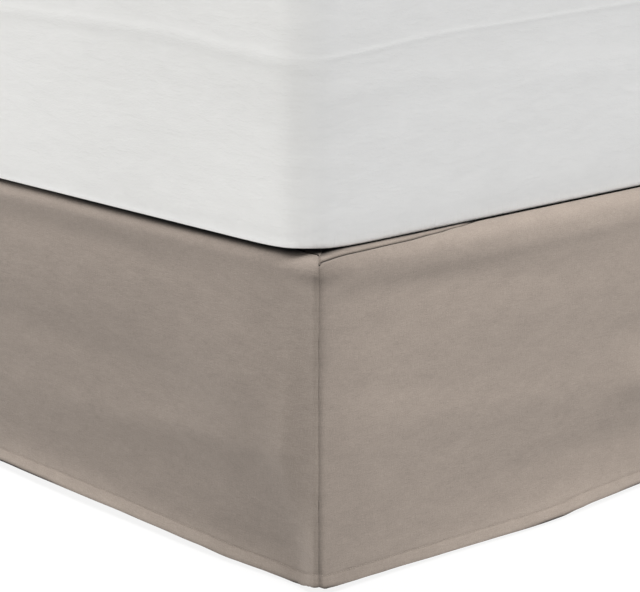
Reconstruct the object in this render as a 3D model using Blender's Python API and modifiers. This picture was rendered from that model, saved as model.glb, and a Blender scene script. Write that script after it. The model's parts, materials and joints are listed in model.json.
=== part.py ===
"""Tailored bed skirt on a plain bed.

The skirt is a deck sheet with a foot drop, two side drops and a cloth insert behind each foot-corner
slit. It lies on a box base under a mattress, and a plain steel frame on glides carries them.

Metres, +Z up, floor at z = 0, the foot of the bed towards -Y and the head towards +Y.
"""

import math
from collections import namedtuple

import bmesh
import bpy
from mathutils import Vector

# ---------------------------------------------------------------- driving dimensions

FACE_X = 0.769            # half the width between the two side drops' outer faces
FACE_Y = 1.012            # from the bed's middle to the foot drop's outer face
HEAD_Y = 1.006            # from the bed's middle to the base's head end
CORNER_RADIUS = 0.010     # the drops' corner, seen from above
LEAST_RADIUS = 0.0030     # of a line drawn in from that corner
CORNER_REACH = 0.060      # how far along a face its inner points make room for the corner

HEM_Z = 0.0045            # the hem's nominal height above the floor
DROP = 0.3755             # from the hem to the top of the deck
TOP_Z = HEM_Z + DROP
ROLL_RADIUS = 0.020       # the cloth's turn over the base's top edge
HEM_WIDTH = 0.015
CLOTH = 0.0018            # one layer of the drop's cloth
HEM_CLOTH = 0.0030        # the folded hem
DECK_CLOTH = 0.0016
JOINT_GAP = 0.0003        # between pieces that touch
SEAM_GAP = 0.0009         # between the deck and a drop, outer face to outer face
EDGE_GAP = 0.0030         # between hanging cloth and the edge it hangs over

SLIT_TOP = 0.0003         # half the slit between two drops at the top
SLIT_HEM = 0.0006         # and at the hem
INSERT_HALF = 0.028       # the insert's reach to either side of the slit
INSERT_DEPTH_TOP = CLOTH + 0.0010
INSERT_DEPTH_LOW = 0.0138
INSERT_LOW = 0.0062       # its lower end, above the floor
INSERT_FALL = 0.17        # the share of its height in which it leaves the drops
INSERT_FLARE = 0.15       # how much of that depth its side edges come back

MATTRESS_X = 0.749        # half the mattress's width
MATTRESS_Y = 1.012        # half its length
MATTRESS_HEIGHT = 0.330
MATTRESS_CORNER = 0.040
MATTRESS_TOP_EDGE = 0.040
MATTRESS_LOW_EDGE = 0.008

BORDER_RADIUS = ROLL_RADIUS - CLOTH - EDGE_GAP    # the roll round the base's top edge
BASE_CORNER = 0.070       # the base's foot corners, seen from above
BASE_HEAD_CORNER = 0.034
BASE_SIDE = 0.013         # the base's side panels stand this far inside the drops' faces
BASE_HEIGHT = 0.2036

RAIL = 0.038              # steel angle, both legs
RAIL_WALL = 0.003
RAIL_X = 0.600            # the side rails' outer faces
RAIL_END_Y = 0.930
CROSS_Y = (-0.850, 0.0, 0.850)
LEG_RADIUS = 0.016
GLIDE_RADIUS = 0.026
GLIDE_HEIGHT = 0.012
LEG_INSET = 0.022         # from a side rail's outer face to its legs' axes

# ---------------------------------------------------------------- folds in the drops

# A fold is a soft trough (negative depth) or ridge (positive) in a drop's face. "along" is its middle,
# from the slit along the drop; "up" its height above the hem; half_length and half_width its reach, and
# rise_deg the climb of its line away from the slit.
Fold = namedtuple("Fold", "along up half_length half_width rise_deg depth")

FOOT_FOLDS = (
    Fold(0.400, 0.332, 0.220, 0.019, 0.0, -0.0042),
    Fold(0.440, 0.262, 0.300, 0.040, 0.0, 0.0030),
    Fold(0.110, 0.200, 0.120, 0.085, 4.0, 0.0130),
    Fold(0.400, 0.196, 0.240, 0.022, 2.0, -0.0026),
    Fold(0.230, 0.138, 0.160, 0.022, -5.0, 0.0034),
    Fold(0.440, 0.116, 0.180, 0.024, -2.0, 0.0018),
    Fold(0.240, 0.088, 0.120, 0.020, -4.0, -0.0016),
    Fold(0.420, 0.056, 0.300, 0.022, 0.0, -0.0014),
    Fold(0.035, 0.145, 0.038, 0.060, 0.0, 0.0060),
    Fold(0.055, 0.000, 0.100, 0.070, 0.0, -0.0110),
    Fold(0.460, 0.000, 0.260, 0.024, 0.0, 0.0116),
    Fold(0.140, 0.000, 0.120, 0.020, 0.0, 0.0046),
    Fold(1.050, 0.322, 0.300, 0.026, 1.0, -0.0036),
    Fold(0.950, 0.240, 0.260, 0.030, 3.0, 0.0024),
    Fold(1.120, 0.160, 0.220, 0.024, -4.0, -0.0024),
    Fold(1.250, 0.088, 0.240, 0.026, 2.0, -0.0020),
    Fold(1.050, 0.000, 0.220, 0.035, 0.0, 0.0034),
)
RIGHT_FOLDS = (
    Fold(0.400, 0.343, 0.240, 0.011, 0.0, 0.0030),
    Fold(0.060, 0.320, 0.060, 0.018, 0.0, -0.0016),
    Fold(0.200, 0.318, 0.190, 0.022, -6.0, -0.0046),
    Fold(0.090, 0.288, 0.110, 0.034, 0.0, -0.0034),
    Fold(0.330, 0.262, 0.240, 0.025, 0.0, 0.0012),
    Fold(0.180, 0.200, 0.130, 0.016, -11.0, -0.0010),
    Fold(0.110, 0.162, 0.120, 0.040, 0.0, 0.0030),
    Fold(0.320, 0.152, 0.200, 0.026, -6.0, 0.0038),
    Fold(0.430, 0.070, 0.170, 0.024, 0.0, -0.0044),
    Fold(0.530, 0.205, 0.050, 0.016, 0.0, -0.0024),
    Fold(0.535, 0.142, 0.056, 0.029, 0.0, 0.0095),
    Fold(0.530, 0.060, 0.070, 0.026, 0.0, -0.0030),
    Fold(0.385, 0.000, 0.190, 0.032, 0.0, 0.0162),
    Fold(0.850, 0.318, 0.260, 0.024, 2.0, -0.0036),
    Fold(0.950, 0.236, 0.300, 0.030, -2.0, 0.0022),
    Fold(0.800, 0.130, 0.220, 0.026, 5.0, -0.0026),
    Fold(1.150, 0.000, 0.260, 0.040, 0.0, 0.0050),
    Fold(1.550, 0.320, 0.280, 0.024, -1.0, -0.0034),
    Fold(1.600, 0.210, 0.300, 0.032, 2.0, 0.0020),
    Fold(1.500, 0.110, 0.260, 0.028, -3.0, -0.0024),
)
LEFT_FOLDS = (
    Fold(0.300, 0.322, 0.300, 0.024, 2.0, -0.0036),
    Fold(0.450, 0.235, 0.320, 0.030, -2.0, 0.0022),
    Fold(0.350, 0.130, 0.260, 0.026, 3.0, -0.0024),
    Fold(0.600, 0.000, 0.240, 0.040, 0.0, 0.0050),
    Fold(1.150, 0.320, 0.320, 0.024, -1.0, -0.0036),
    Fold(1.300, 0.210, 0.320, 0.030, 2.0, 0.0022),
    Fold(1.200, 0.105, 0.280, 0.026, -2.0, -0.0024),
    Fold(1.700, 0.000, 0.200, 0.036, 0.0, 0.0040),
)

# How far the hem hangs above (+) or below (-) its nominal line.
HemPoint = namedtuple("HemPoint", "along rise")
FOOT_HEM = (
    HemPoint(0.000, 0.0072), HemPoint(0.010, 0.0062), HemPoint(0.018, 0.0042),
    HemPoint(0.030, 0.0008), HemPoint(0.045, -0.0008), HemPoint(0.070, -0.0003),
    HemPoint(0.100, 0.0006), HemPoint(0.140, 0.0015), HemPoint(0.200, 0.0044),
    HemPoint(0.280, 0.0056), HemPoint(0.360, 0.0070), HemPoint(0.460, 0.0073),
    HemPoint(0.560, 0.0066), HemPoint(0.700, 0.0040), HemPoint(1.400, 0.0015),
    HemPoint(1.530, 0.0045),
)
SIDE_HEM = (
    HemPoint(0.000, 0.0074), HemPoint(0.009, 0.0050), HemPoint(0.026, 0.0040),
    HemPoint(0.060, 0.0032), HemPoint(0.100, 0.0022), HemPoint(0.180, 0.0006),
    HemPoint(0.260, 0.0002), HemPoint(0.340, -0.0005), HemPoint(0.380, -0.0001),
    HemPoint(0.410, 0.0021), HemPoint(0.440, 0.0033), HemPoint(0.500, 0.0028),
    HemPoint(0.560, 0.0022), HemPoint(2.000, 0.0010),
)

# Where the seam between the deck and a drop runs, as its inset from the drop's face.
SeamPoint = namedtuple("SeamPoint", "along inset")
FOOT_SEAM = (
    SeamPoint(0.000, 0.0055), SeamPoint(0.0079, 0.0110), SeamPoint(0.0180, 0.0220),
)
SIDE_SEAM = (
    SeamPoint(0.000, 0.0070), SeamPoint(0.012, 0.0098), SeamPoint(0.050, 0.0106),
    SeamPoint(0.140, 0.0116), SeamPoint(0.185, 0.0138), SeamPoint(0.225, 0.0172),
    SeamPoint(0.270, 0.0225),
)
LEFT_SEAM = (SeamPoint(0.000, 0.0055), SeamPoint(0.060, 0.0220))

# The edge of a drop curls in at its slit: its radius at the top and at the hem.
Curl = namedtuple("Curl", "top hem")
FOOT_CURL = Curl(0.0003, 0.0020)
SIDE_CURL = Curl(0.0003, 0.0020)

# ---------------------------------------------------------------- where the grid's lines run

ARC_STEPS = 3                           # rows over the roll
FACE_ROWS = (0.338, 0.318, 0.290, 0.258, 0.226, 0.196, 0.162, 0.128, 0.094, 0.058)
CORNER_COLUMNS = (0.0, 0.0012, 0.0026, 0.0042, 0.0060)          # from the slit's edge
NEAR_COLUMNS = (0.0098, 0.0120, 0.015, 0.020, 0.034)                   # on the face, next to its corner's arc
FINE_STEP = 0.042
COARSE_STEP = 0.115
FINE_REACH = 0.640                      # the fine columns end this far from the seen slit
CORNER_CALM = 0.045                     # folds fade out over this length next to a slit
DECK_EASE = 0.0044                      # extra room between deck and drop at a slit
EASE_REACH = 0.036
DECK_RINGS = (0.0, 0.003, 0.020)        # the deck's edge, and the lines drawn in from it

# ---------------------------------------------------------------- colours

TAUPE = (0.300, 0.255, 0.222)
WHITE = (0.800, 0.800, 0.780)
TICKING = (0.560, 0.550, 0.520)
STEEL = (0.060, 0.060, 0.065)
GLIDE_GREY = (0.030, 0.030, 0.030)

QUARTER_TURN = math.pi / 2
HALF_CORNER = CORNER_RADIUS * math.pi / 4                # from a slit to the end of its corner's arc
FOOT_STRAIGHT = 2 * (FACE_X - CORNER_RADIUS)
FOOT_LENGTH = 2 * HALF_CORNER + FOOT_STRAIGHT
SIDE_LENGTH = HALF_CORNER + FACE_Y - CORNER_RADIUS + HEAD_Y


# ---------------------------------------------------------------- small helpers

def clear_scene():
    for item in list(bpy.data.objects):
        bpy.data.objects.remove(item, do_unlink=True)


def new_material(name, colour, roughness, metallic=0.0):
    material = bpy.data.materials.new(name)
    material.use_nodes = True
    shader = material.node_tree.nodes["Principled BSDF"]
    shader.inputs["Base Color"].default_value = (*colour, 1.0)
    shader.inputs["Roughness"].default_value = roughness
    shader.inputs["Metallic"].default_value = metallic
    return material


def add_object(collection, name, mesh_builder, material):
    mesh = bpy.data.meshes.new(name)
    mesh_builder.to_mesh(mesh)
    mesh_builder.free()
    item = bpy.data.objects.new(name, mesh)
    item.data.materials.append(material)
    collection.objects.link(item)
    return item


def between(low, high, share):
    return low + (high - low) * share


def read_line(points, along):
    """Height of a smooth line through (along, value) rows."""
    if along <= points[0][0]:
        return points[0][1]
    for first, second in zip(points, points[1:]):
        if along <= second[0]:
            share = (along - first[0]) / (second[0] - first[0])
            share = share * share * (3 - 2 * share)
            return between(first[1], second[1], share)
    return points[-1][1]


# ---------------------------------------------------------------- plan of the skirt

def corner_plan(along, sign_turn, inset, shift):
    """Point and outward direction on one face of the right foot corner, "along" metres from its slit.

    The point lies "inset" inside the face. Past the corner's own radius it keeps to its side of the
    corner's diagonal, and it stands "shift" away from that diagonal near the slit."""
    turn = sign_turn * min(along / CORNER_RADIUS, math.pi / 4) - math.pi / 4
    outward = Vector((math.cos(turn), math.sin(turn)))
    beyond = max(inset - CORNER_RADIUS + LEAST_RADIUS, 0.0)
    run = max(along - HALF_CORNER, 0.0)
    run += beyond * max(1 - run / CORNER_REACH, 0.0)
    middle = Vector((FACE_X - CORNER_RADIUS, CORNER_RADIUS - FACE_Y))
    point = middle + outward * (CORNER_RADIUS - inset + beyond)
    point += Vector((-beyond, run)) if sign_turn > 0 else Vector((-run, beyond))
    point += Vector((1.0, 1.0)) * (sign_turn * shift * math.sqrt(0.5))
    return point, outward


def side_plan(along, inset=0.0, shift=0.0):
    return corner_plan(along, 1, inset, shift)


def foot_plan(along, inset=0.0, shift=0.0):
    """The same on the foot, from the right-hand slit to the left-hand one."""
    if along > FOOT_LENGTH / 2:
        point, outward = foot_plan(FOOT_LENGTH - along, inset, shift)
        return Vector((-point.x, point.y)), Vector((-outward.x, outward.y))
    return corner_plan(along, -1, inset, shift)


def left_plan(along, inset=0.0, shift=0.0):
    point, outward = corner_plan(along, 1, inset, shift)
    return Vector((-point.x, point.y)), Vector((-outward.x, outward.y))


# ---------------------------------------------------------------- section of a drop

def roll_height(inset):
    """Height of the cloth's outer face on the ledge or the roll, at an inset from the drop's face."""
    inside = ROLL_RADIUS - min(inset, ROLL_RADIUS)
    return TOP_Z - ROLL_RADIUS + math.sqrt(ROLL_RADIUS ** 2 - inside ** 2)


def seam_turn(inset):
    """How far round the roll the seam lies, from the vertical."""
    return math.asin(1 - min(inset, ROLL_RADIUS) / ROLL_RADIUS)


def fold_depth(folds, along, up):
    total = 0.0
    for fold in folds:
        rise = math.radians(fold.rise_deg)
        east, north = along - fold.along, up - fold.up
        lengthwise = east * math.cos(rise) + north * math.sin(rise)
        across = north * math.cos(rise) - east * math.sin(rise)
        reach = (lengthwise / fold.half_length) ** 2 + (across / fold.half_width) ** 2
        total += fold.depth * math.exp(-reach)
    return total


def curl_depth(curl, from_edge, up):
    """How far a drop's edge has turned in, close to its slit."""
    radius = between(curl.hem, curl.top, up / DROP)
    if from_edge >= radius:
        return 0.0
    return radius - math.sqrt(radius ** 2 - (radius - from_edge) ** 2)


def section_rows(seam_inset, hem_rise):
    """Rows (inset, height) of a drop's outer face, from its seam down to its hem."""
    rows = []
    if seam_inset > ROLL_RADIUS:
        rows.append((seam_inset - SEAM_GAP / 2, TOP_Z))
        start = 0.0
    else:
        start = seam_turn(seam_inset) + SEAM_GAP / 2 / ROLL_RADIUS
        rows.append((ROLL_RADIUS * (1 - math.sin(start)), TOP_Z - ROLL_RADIUS * (1 - math.cos(start))))
    for step in range(1, ARC_STEPS + 1):
        turn = between(start, QUARTER_TURN, step / ARC_STEPS)
        rows.append((ROLL_RADIUS * (1 - math.sin(turn)), TOP_Z - ROLL_RADIUS * (1 - math.cos(turn))))
    rows += [(0.0, HEM_Z + up) for up in FACE_ROWS]
    hem_foot = HEM_Z + hem_rise
    rows += [(0.0, hem_foot + HEM_WIDTH + CLOTH), (0.0, hem_foot + HEM_WIDTH), (0.0, hem_foot)]
    return rows


def columns(length, far_corner, fine_reach):
    """Places of the grid's columns along a drop, dense by the slits and fine near the seen corner."""
    near = list(CORNER_COLUMNS) + [HALF_CORNER] + list(NEAR_COLUMNS)
    places = list(near)
    end = length - near[-1] if far_corner else length
    here = near[-1]
    while here < fine_reach:
        here += FINE_STEP
        places.append(here)
    count = max(1, round((end - here) / COARSE_STEP))
    places += [between(here, end, (index + 1) / count) for index in range(count)]
    if far_corner:
        places += [length - place for place in reversed(near[:-1])]
    return places


# ---------------------------------------------------------------- cloth pieces

def finish_sheet(item, thickness, hem_vertices=None):
    """Turn an open outer face into a closed sheet that is thicker in its hem."""
    group = item.vertex_groups.new(name="layers")
    group.add(range(len(item.data.vertices)), thickness / HEM_CLOTH, "REPLACE")
    if hem_vertices:
        group.add(hem_vertices, 1.0, "REPLACE")
    solid = item.modifiers.new("Cloth thickness", "SOLIDIFY")
    solid.thickness = HEM_CLOTH
    solid.offset = -1.0
    solid.vertex_group = group.name
    item.data.shade_smooth()


def slit_shift(from_slit, up):
    """How far a place near a slit moves away from it, to leave the slit open."""
    half_slit = between(SLIT_HEM, SLIT_TOP, up / DROP)
    return half_slit * max(0.0, 1 - from_slit / HALF_CORNER)


def smooth_share(value):
    value = min(1.0, max(0.0, value))
    return value * value * (3 - 2 * value)


def add_drop(collection, name, plan, length, folds, hem, seam, curl, material, places):
    ends_in_slit = plan is foot_plan
    row_count = len(section_rows(0.0, 0.0))
    builder = bmesh.new()
    bmesh.ops.create_grid(
        builder, x_segments=len(places) - 1, y_segments=row_count - 1, size=0.5
    )
    hem_rows = []
    for vertex in builder.verts:
        column = round((vertex.co.x + 0.5) * (len(places) - 1))
        row = round((0.5 - vertex.co.y) * (row_count - 1))
        along = places[column]
        from_slit = min(along, length - along) if ends_in_slit else along
        inset, height = section_rows(read_line(seam, from_slit), read_line(hem, along))[row]
        up = max(height - HEM_Z, 0.0)
        calm = smooth_share(from_slit / CORNER_CALM) * smooth_share((TOP_Z - height) / ROLL_RADIUS)
        depth = fold_depth(folds, along, up) * calm - curl_depth(curl, from_slit, up)
        point, outward = plan(along, inset, slit_shift(from_slit, up))
        place = point + outward * depth
        vertex.co = (place.x, place.y, height)
        if row >= row_count - 2:
            hem_rows.append(vertex.index)
    bmesh.ops.recalc_face_normals(builder, faces=builder.faces)
    point_outwards(builder, plan, length)
    item = add_object(collection, name, builder, material)
    finish_sheet(item, CLOTH, hem_rows)
    return item


def point_outwards(builder, plan, length):
    """Turn an open face over if it looks towards the bed's middle."""
    middle, outward = plan(length / 2)
    low_faces = [face for face in builder.faces if face.calc_center_median().z < TOP_Z / 2]
    nearest = min(low_faces, key=lambda face: (face.calc_center_median().xy - middle).length)
    if nearest.normal.xy.dot(outward) < 0:
        bmesh.ops.reverse_faces(builder, faces=builder.faces)


def add_insert(collection, name, sign, material):
    """The strip behind a foot corner's slit: up in the roll at its top, hanging free at its hem."""
    column_count, row_count = 6, 6
    builder = bmesh.new()
    bmesh.ops.create_grid(builder, x_segments=column_count, y_segments=row_count, size=0.5)
    top = TOP_Z - ROLL_RADIUS
    for vertex in builder.verts:
        along = 2 * INSERT_HALF * vertex.co.x
        share = 0.5 - vertex.co.y
        plan = side_plan if along >= 0 else foot_plan
        height = between(top, INSERT_LOW, share)
        depth = between(INSERT_DEPTH_TOP, INSERT_DEPTH_LOW, min(1.0, share / INSERT_FALL))
        depth -= (depth - INSERT_DEPTH_TOP) * (abs(along) / INSERT_HALF) ** 2 * INSERT_FLARE
        place, _ = plan(abs(along), depth)
        vertex.co = (sign * place.x, place.y, height)
    bmesh.ops.recalc_face_normals(builder, faces=builder.faces)
    outwards = Vector((sign, -1.0, 0.0))
    if sum((face.normal for face in builder.faces), Vector()).dot(outwards) < 0:
        bmesh.ops.reverse_faces(builder, faces=builder.faces)
    item = add_object(collection, name, builder, material)
    finish_sheet(item, CLOTH)
    return item


def deck_outline(extra, foot_places, right_places, left_places):
    """The deck's edge round the foot and both sides, drawn in by "extra" from the drops' seams."""
    points = []

    def add(plan, along, seam, from_slit):
        inset = read_line(seam, from_slit) + SEAM_GAP / 2 + extra
        inset += DECK_EASE * max(0.0, 1 - from_slit / EASE_REACH)
        place, _ = plan(along, inset, slit_shift(from_slit, DROP))
        points.append((place.x, min(place.y, HEAD_Y - extra), inset))

    for along in reversed(right_places):
        add(side_plan, along, SIDE_SEAM, along)
    for along in foot_places:
        add(foot_plan, along, FOOT_SEAM, min(along, FOOT_LENGTH - along))
    for along in left_places:
        add(left_plan, along, LEFT_SEAM, along)
    return points


def add_deck(collection, material, foot_places, right_places, left_places):
    """The sheet between base and mattress; its edge follows the roll as far out as its seams lie."""
    builder = bmesh.new()
    rings = []
    for extra in DECK_RINGS:
        outline = deck_outline(extra, foot_places, right_places, left_places)
        rings.append([builder.verts.new((x, y, roll_height(inset))) for x, y, inset in outline])
    for outer, inner in zip(rings, rings[1:]):
        for index in range(len(outer)):
            after = (index + 1) % len(outer)
            builder.faces.new((outer[index], outer[after], inner[after], inner[index]))
    builder.faces.new(rings[-1])
    bmesh.ops.recalc_face_normals(builder, faces=builder.faces)
    builder.faces.ensure_lookup_table()
    if builder.faces[-1].normal.z < 0:
        bmesh.ops.reverse_faces(builder, faces=builder.faces)
    item = add_object(collection, "deck", builder, material)
    finish_sheet(item, DECK_CLOTH)
    return item


# ---------------------------------------------------------------- the bed

def rounded_box(half_x, half_y, height, corner, top_edge, low_edge):
    """A box with its upright edges, then its top and bottom edges rounded."""
    builder = bmesh.new()
    bmesh.ops.create_cube(builder, size=1.0)
    bmesh.ops.scale(builder, verts=builder.verts, vec=(2 * half_x, 2 * half_y, height))
    bmesh.ops.translate(builder, verts=builder.verts, vec=(0, 0, height / 2))

    def is_upright(edge):
        first, second = edge.verts
        return abs(first.co.z - second.co.z) > height / 2

    def lies_at(edge, level):
        return all(abs(vertex.co.z - level) < 1e-6 for vertex in edge.verts)

    def round_off(edges, radius, segments):
        bmesh.ops.bevel(
            builder, geom=edges, offset=radius, segments=segments, profile=0.5, affect="EDGES",
            clamp_overlap=True,
        )

    round_off([edge for edge in builder.edges if is_upright(edge)], corner, 5)
    for level, radius, segments in ((height, top_edge, 4), (0.0, low_edge, 3)):
        edges = [edge for edge in builder.edges if lies_at(edge, level)]
        round_off(edges, radius, segments)
    return builder


def add_mattress(collection, material):
    builder = rounded_box(
        MATTRESS_X, MATTRESS_Y, MATTRESS_HEIGHT, MATTRESS_CORNER, MATTRESS_TOP_EDGE, MATTRESS_LOW_EDGE
    )
    bmesh.ops.translate(builder, verts=builder.verts, vec=(0, 0, TOP_Z + JOINT_GAP))
    item = add_object(collection, "mattress", builder, material)
    item.data.shade_smooth()
    item.data.set_sharp_from_angle(angle=math.radians(40))
    return item


def base_sections():
    """Rows (inset, height) of the base, from its underside to its top."""
    top = TOP_Z - DECK_CLOTH - JOINT_GAP
    border_middle = TOP_Z - ROLL_RADIUS
    rows = [
        (BASE_SIDE + 0.006, top - BASE_HEIGHT), (BASE_SIDE, top - BASE_HEIGHT + 0.006),
        (BASE_SIDE, border_middle - BORDER_RADIUS),
    ]
    for degrees in (-40, -10, 20, 50, 80):
        turn = math.radians(degrees)
        rows.append((
            ROLL_RADIUS - BORDER_RADIUS * math.cos(turn), border_middle + BORDER_RADIUS * math.sin(turn)
        ))
    rows += [(ROLL_RADIUS + 0.016, border_middle + BORDER_RADIUS), (ROLL_RADIUS + 0.024, top)]
    return rows


def base_ring(inset, height):
    """One level outline of the base: a rectangle with rounded corners, drawn in by its inset."""
    steps = 5
    head, foot = BASE_HEAD_CORNER - inset / 2, BASE_CORNER - inset / 2
    reach_x, foot_y, head_y = FACE_X - inset, FACE_Y - inset, HEAD_Y + BORDER_RADIUS - inset
    corners = (
        (reach_x - head, head_y - head, head, 0), (head - reach_x, head_y - head, head, 90),
        (foot - reach_x, foot - foot_y, foot, 180), (reach_x - foot, foot - foot_y, foot, 270),
    )
    points = []
    for x, y, radius, start in corners:
        for step in range(steps + 1):
            turn = math.radians(start + 90 * step / steps)
            points.append((x + radius * math.cos(turn), y + radius * math.sin(turn), height))
    return points


def add_base(collection, material):
    builder = bmesh.new()
    rings = []
    for inset, height in base_sections():
        rings.append([builder.verts.new(point) for point in base_ring(inset, height)])
    for lower, upper in zip(rings, rings[1:]):
        for index in range(len(lower)):
            after = (index + 1) % len(lower)
            builder.faces.new((lower[index], lower[after], upper[after], upper[index]))
    builder.faces.new(rings[0])
    builder.faces.new(rings[-1])
    bmesh.ops.recalc_face_normals(builder, faces=builder.faces)
    item = add_object(collection, "base", builder, material)
    item.data.shade_smooth()
    item.data.set_sharp_from_angle(angle=math.radians(40))
    return item


def add_angle(collection, name, start, end, inward, material):
    """A steel angle from start to end: its level leg on top, turned inward, its other leg down."""
    section = (
        (0, 0), (RAIL, 0), (RAIL, -RAIL_WALL), (RAIL_WALL, -RAIL_WALL), (RAIL_WALL, -RAIL), (0, -RAIL),
    )
    start, end, inward = Vector(start), Vector(end), Vector(inward)
    builder = bmesh.new()
    face = builder.faces.new([
        builder.verts.new(start + inward * sideways + Vector((0, 0, down))) for sideways, down in section
    ])
    run = bmesh.ops.extrude_face_region(builder, geom=[face])
    moved = [part for part in run["geom"] if isinstance(part, bmesh.types.BMVert)]
    bmesh.ops.translate(builder, verts=moved, vec=end - start)
    bmesh.ops.recalc_face_normals(builder, faces=builder.faces)
    return add_object(collection, name, builder, material)


def add_round(collection, name, centre, radius, low, high, material):
    """An upright round piece between two heights."""
    builder = bmesh.new()
    bmesh.ops.create_cone(
        builder, cap_ends=True, segments=14, radius1=radius, radius2=radius, depth=high - low
    )
    bmesh.ops.translate(builder, verts=builder.verts, vec=(centre[0], centre[1], (low + high) / 2))
    item = add_object(collection, name, builder, material)
    item.data.shade_smooth()
    item.data.set_sharp_from_angle(angle=math.radians(40))
    return item


def add_frame(collection, steel, grey):
    rail_top = TOP_Z - DECK_CLOTH - JOINT_GAP - BASE_HEIGHT - JOINT_GAP
    for name, sign in (("rail_right", 1), ("rail_left", -1)):
        add_angle(
            collection, name, (sign * RAIL_X, -RAIL_END_Y, rail_top), (sign * RAIL_X, RAIL_END_Y, rail_top),
            (-sign, 0, 0), steel,
        )
    reach = RAIL_X - RAIL - JOINT_GAP
    for name, y in zip(("cross_foot", "cross_middle", "cross_head"), CROSS_Y):
        add_angle(collection, name, (-reach, y, rail_top), (reach, y, rail_top), (0, 1, 0), steel)
    leg_top = rail_top - RAIL_WALL - JOINT_GAP
    places = [
        (f"{side}_{where}", sign * (RAIL_X - LEG_INSET), y)
        for side, sign in (("right", 1), ("left", -1))
        for where, y in zip(("foot", "middle", "head"), CROSS_Y)
    ]
    places.append(("centre", 0.0, CROSS_Y[1] + LEG_INSET))
    for name, x, y in places:
        add_round(collection, f"leg_{name}", (x, y), LEG_RADIUS, GLIDE_HEIGHT + JOINT_GAP, leg_top, steel)
        add_round(collection, f"glide_{name}", (x, y), GLIDE_RADIUS, 0.0, GLIDE_HEIGHT, grey)


# ---------------------------------------------------------------- the whole bed

def build():
    clear_scene()
    collection = bpy.data.collections.new("bed_skirt_on_bed")
    bpy.context.scene.collection.children.link(collection)
    taupe = new_material("taupe_cloth", TAUPE, 0.85)
    white = new_material("white_cover", WHITE, 0.80)
    ticking = new_material("base_cloth", TICKING, 0.90)
    steel = new_material("frame_steel", STEEL, 0.45, 1.0)
    grey = new_material("glide_plastic", GLIDE_GREY, 0.60)

    foot_places = columns(FOOT_LENGTH, True, FINE_REACH)
    right_places = columns(SIDE_LENGTH, False, FINE_REACH)
    left_places = columns(SIDE_LENGTH, False, 0.0)
    add_drop(
        collection, "drop_foot", foot_plan, FOOT_LENGTH, FOOT_FOLDS, FOOT_HEM, FOOT_SEAM, FOOT_CURL, taupe,
        foot_places,
    )
    add_drop(
        collection, "drop_right", side_plan, SIDE_LENGTH, RIGHT_FOLDS, SIDE_HEM, SIDE_SEAM, SIDE_CURL, taupe,
        right_places,
    )
    add_drop(
        collection, "drop_left", left_plan, SIDE_LENGTH, LEFT_FOLDS, FOOT_HEM, LEFT_SEAM, SIDE_CURL, taupe,
        left_places,
    )
    add_insert(collection, "corner_insert_right", 1, taupe)
    add_insert(collection, "corner_insert_left", -1, taupe)
    add_deck(collection, taupe, foot_places, right_places, left_places)
    add_mattress(collection, white)
    add_base(collection, ticking)
    add_frame(collection, steel, grey)


build()
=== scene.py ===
"""The looks of a tailored bed skirt on a plain bed: cloth sheets with their folds, hems, seams and
stitches, the covered mattress and base, and the steel frame under them.

Metres, +Z up, floor at z = 0, the foot of the bed towards -Y and the head towards +Y.
"""

import json
import math
from collections import namedtuple

import bpy
import numpy as np
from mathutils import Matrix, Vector, noise

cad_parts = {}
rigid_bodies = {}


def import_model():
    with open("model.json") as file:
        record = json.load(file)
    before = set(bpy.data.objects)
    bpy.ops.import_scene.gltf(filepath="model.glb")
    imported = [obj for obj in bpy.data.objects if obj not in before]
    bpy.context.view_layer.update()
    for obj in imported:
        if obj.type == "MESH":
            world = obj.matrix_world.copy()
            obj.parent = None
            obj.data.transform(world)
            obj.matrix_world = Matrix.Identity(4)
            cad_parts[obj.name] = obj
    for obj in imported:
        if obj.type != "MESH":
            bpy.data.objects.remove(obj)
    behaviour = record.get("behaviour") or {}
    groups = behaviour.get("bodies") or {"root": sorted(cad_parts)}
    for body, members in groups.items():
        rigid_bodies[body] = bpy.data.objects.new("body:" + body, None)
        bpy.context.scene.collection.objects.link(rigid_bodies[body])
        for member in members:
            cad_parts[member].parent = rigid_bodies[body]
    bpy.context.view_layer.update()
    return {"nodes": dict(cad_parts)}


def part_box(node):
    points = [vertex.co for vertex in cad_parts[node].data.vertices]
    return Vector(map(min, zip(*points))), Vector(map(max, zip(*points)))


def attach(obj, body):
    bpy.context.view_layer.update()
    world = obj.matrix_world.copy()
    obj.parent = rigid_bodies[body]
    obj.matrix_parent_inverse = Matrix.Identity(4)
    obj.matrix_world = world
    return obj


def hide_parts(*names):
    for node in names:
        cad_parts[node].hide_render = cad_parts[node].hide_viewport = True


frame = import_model()

# ---- sizes of the skirt

FACE_X = 0.769             # half the width between the two side drops' outer faces
FACE_Y = 1.012             # from the bed's middle to the foot drop's outer face
HEAD_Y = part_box("drop_right")[1].y
CORNER_RADIUS = 0.010      # the drops' corner, seen from above
LEAST_RADIUS = 0.0008      # and the least radius that its inner points keep
CORNER_REACH = 0.060       # how far along a face its inner points make room for the corner
HEM_Z = 0.0045             # the hem's nominal height above the floor
TOP_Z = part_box("deck")[1].z
DROP = TOP_Z - HEM_Z
ROLL_RADIUS = 0.020        # the cloth's turn over the base's top edge
HEM_WIDTH = 0.015
CLOTH = 0.0018             # thickness of a drop,
HEM_CLOTH = 0.0030         # of its doubled hem,
DECK_CLOTH = 0.0016        # and of the deck
SEAM_GAP = 0.0009          # between the edges of the deck and a drop
SLIT_TOP = 0.00001         # half the slit between two drops at the top
SLIT_HEM = 0.00014         # and at the hem
INSERT_HALF = 0.028        # an insert's reach to either side of the slit, on the drops' faces
INSERT_DEPTH_TOP = 0.0062  # how far behind the drops it hangs at the top
INSERT_DEPTH_LOW = 0.0138  # and lower down
INSERT_LOW = 0.0062        # its lower end, above the floor
INSERT_FALL = 0.17         # the share of its height in which it leaves the drops
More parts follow.
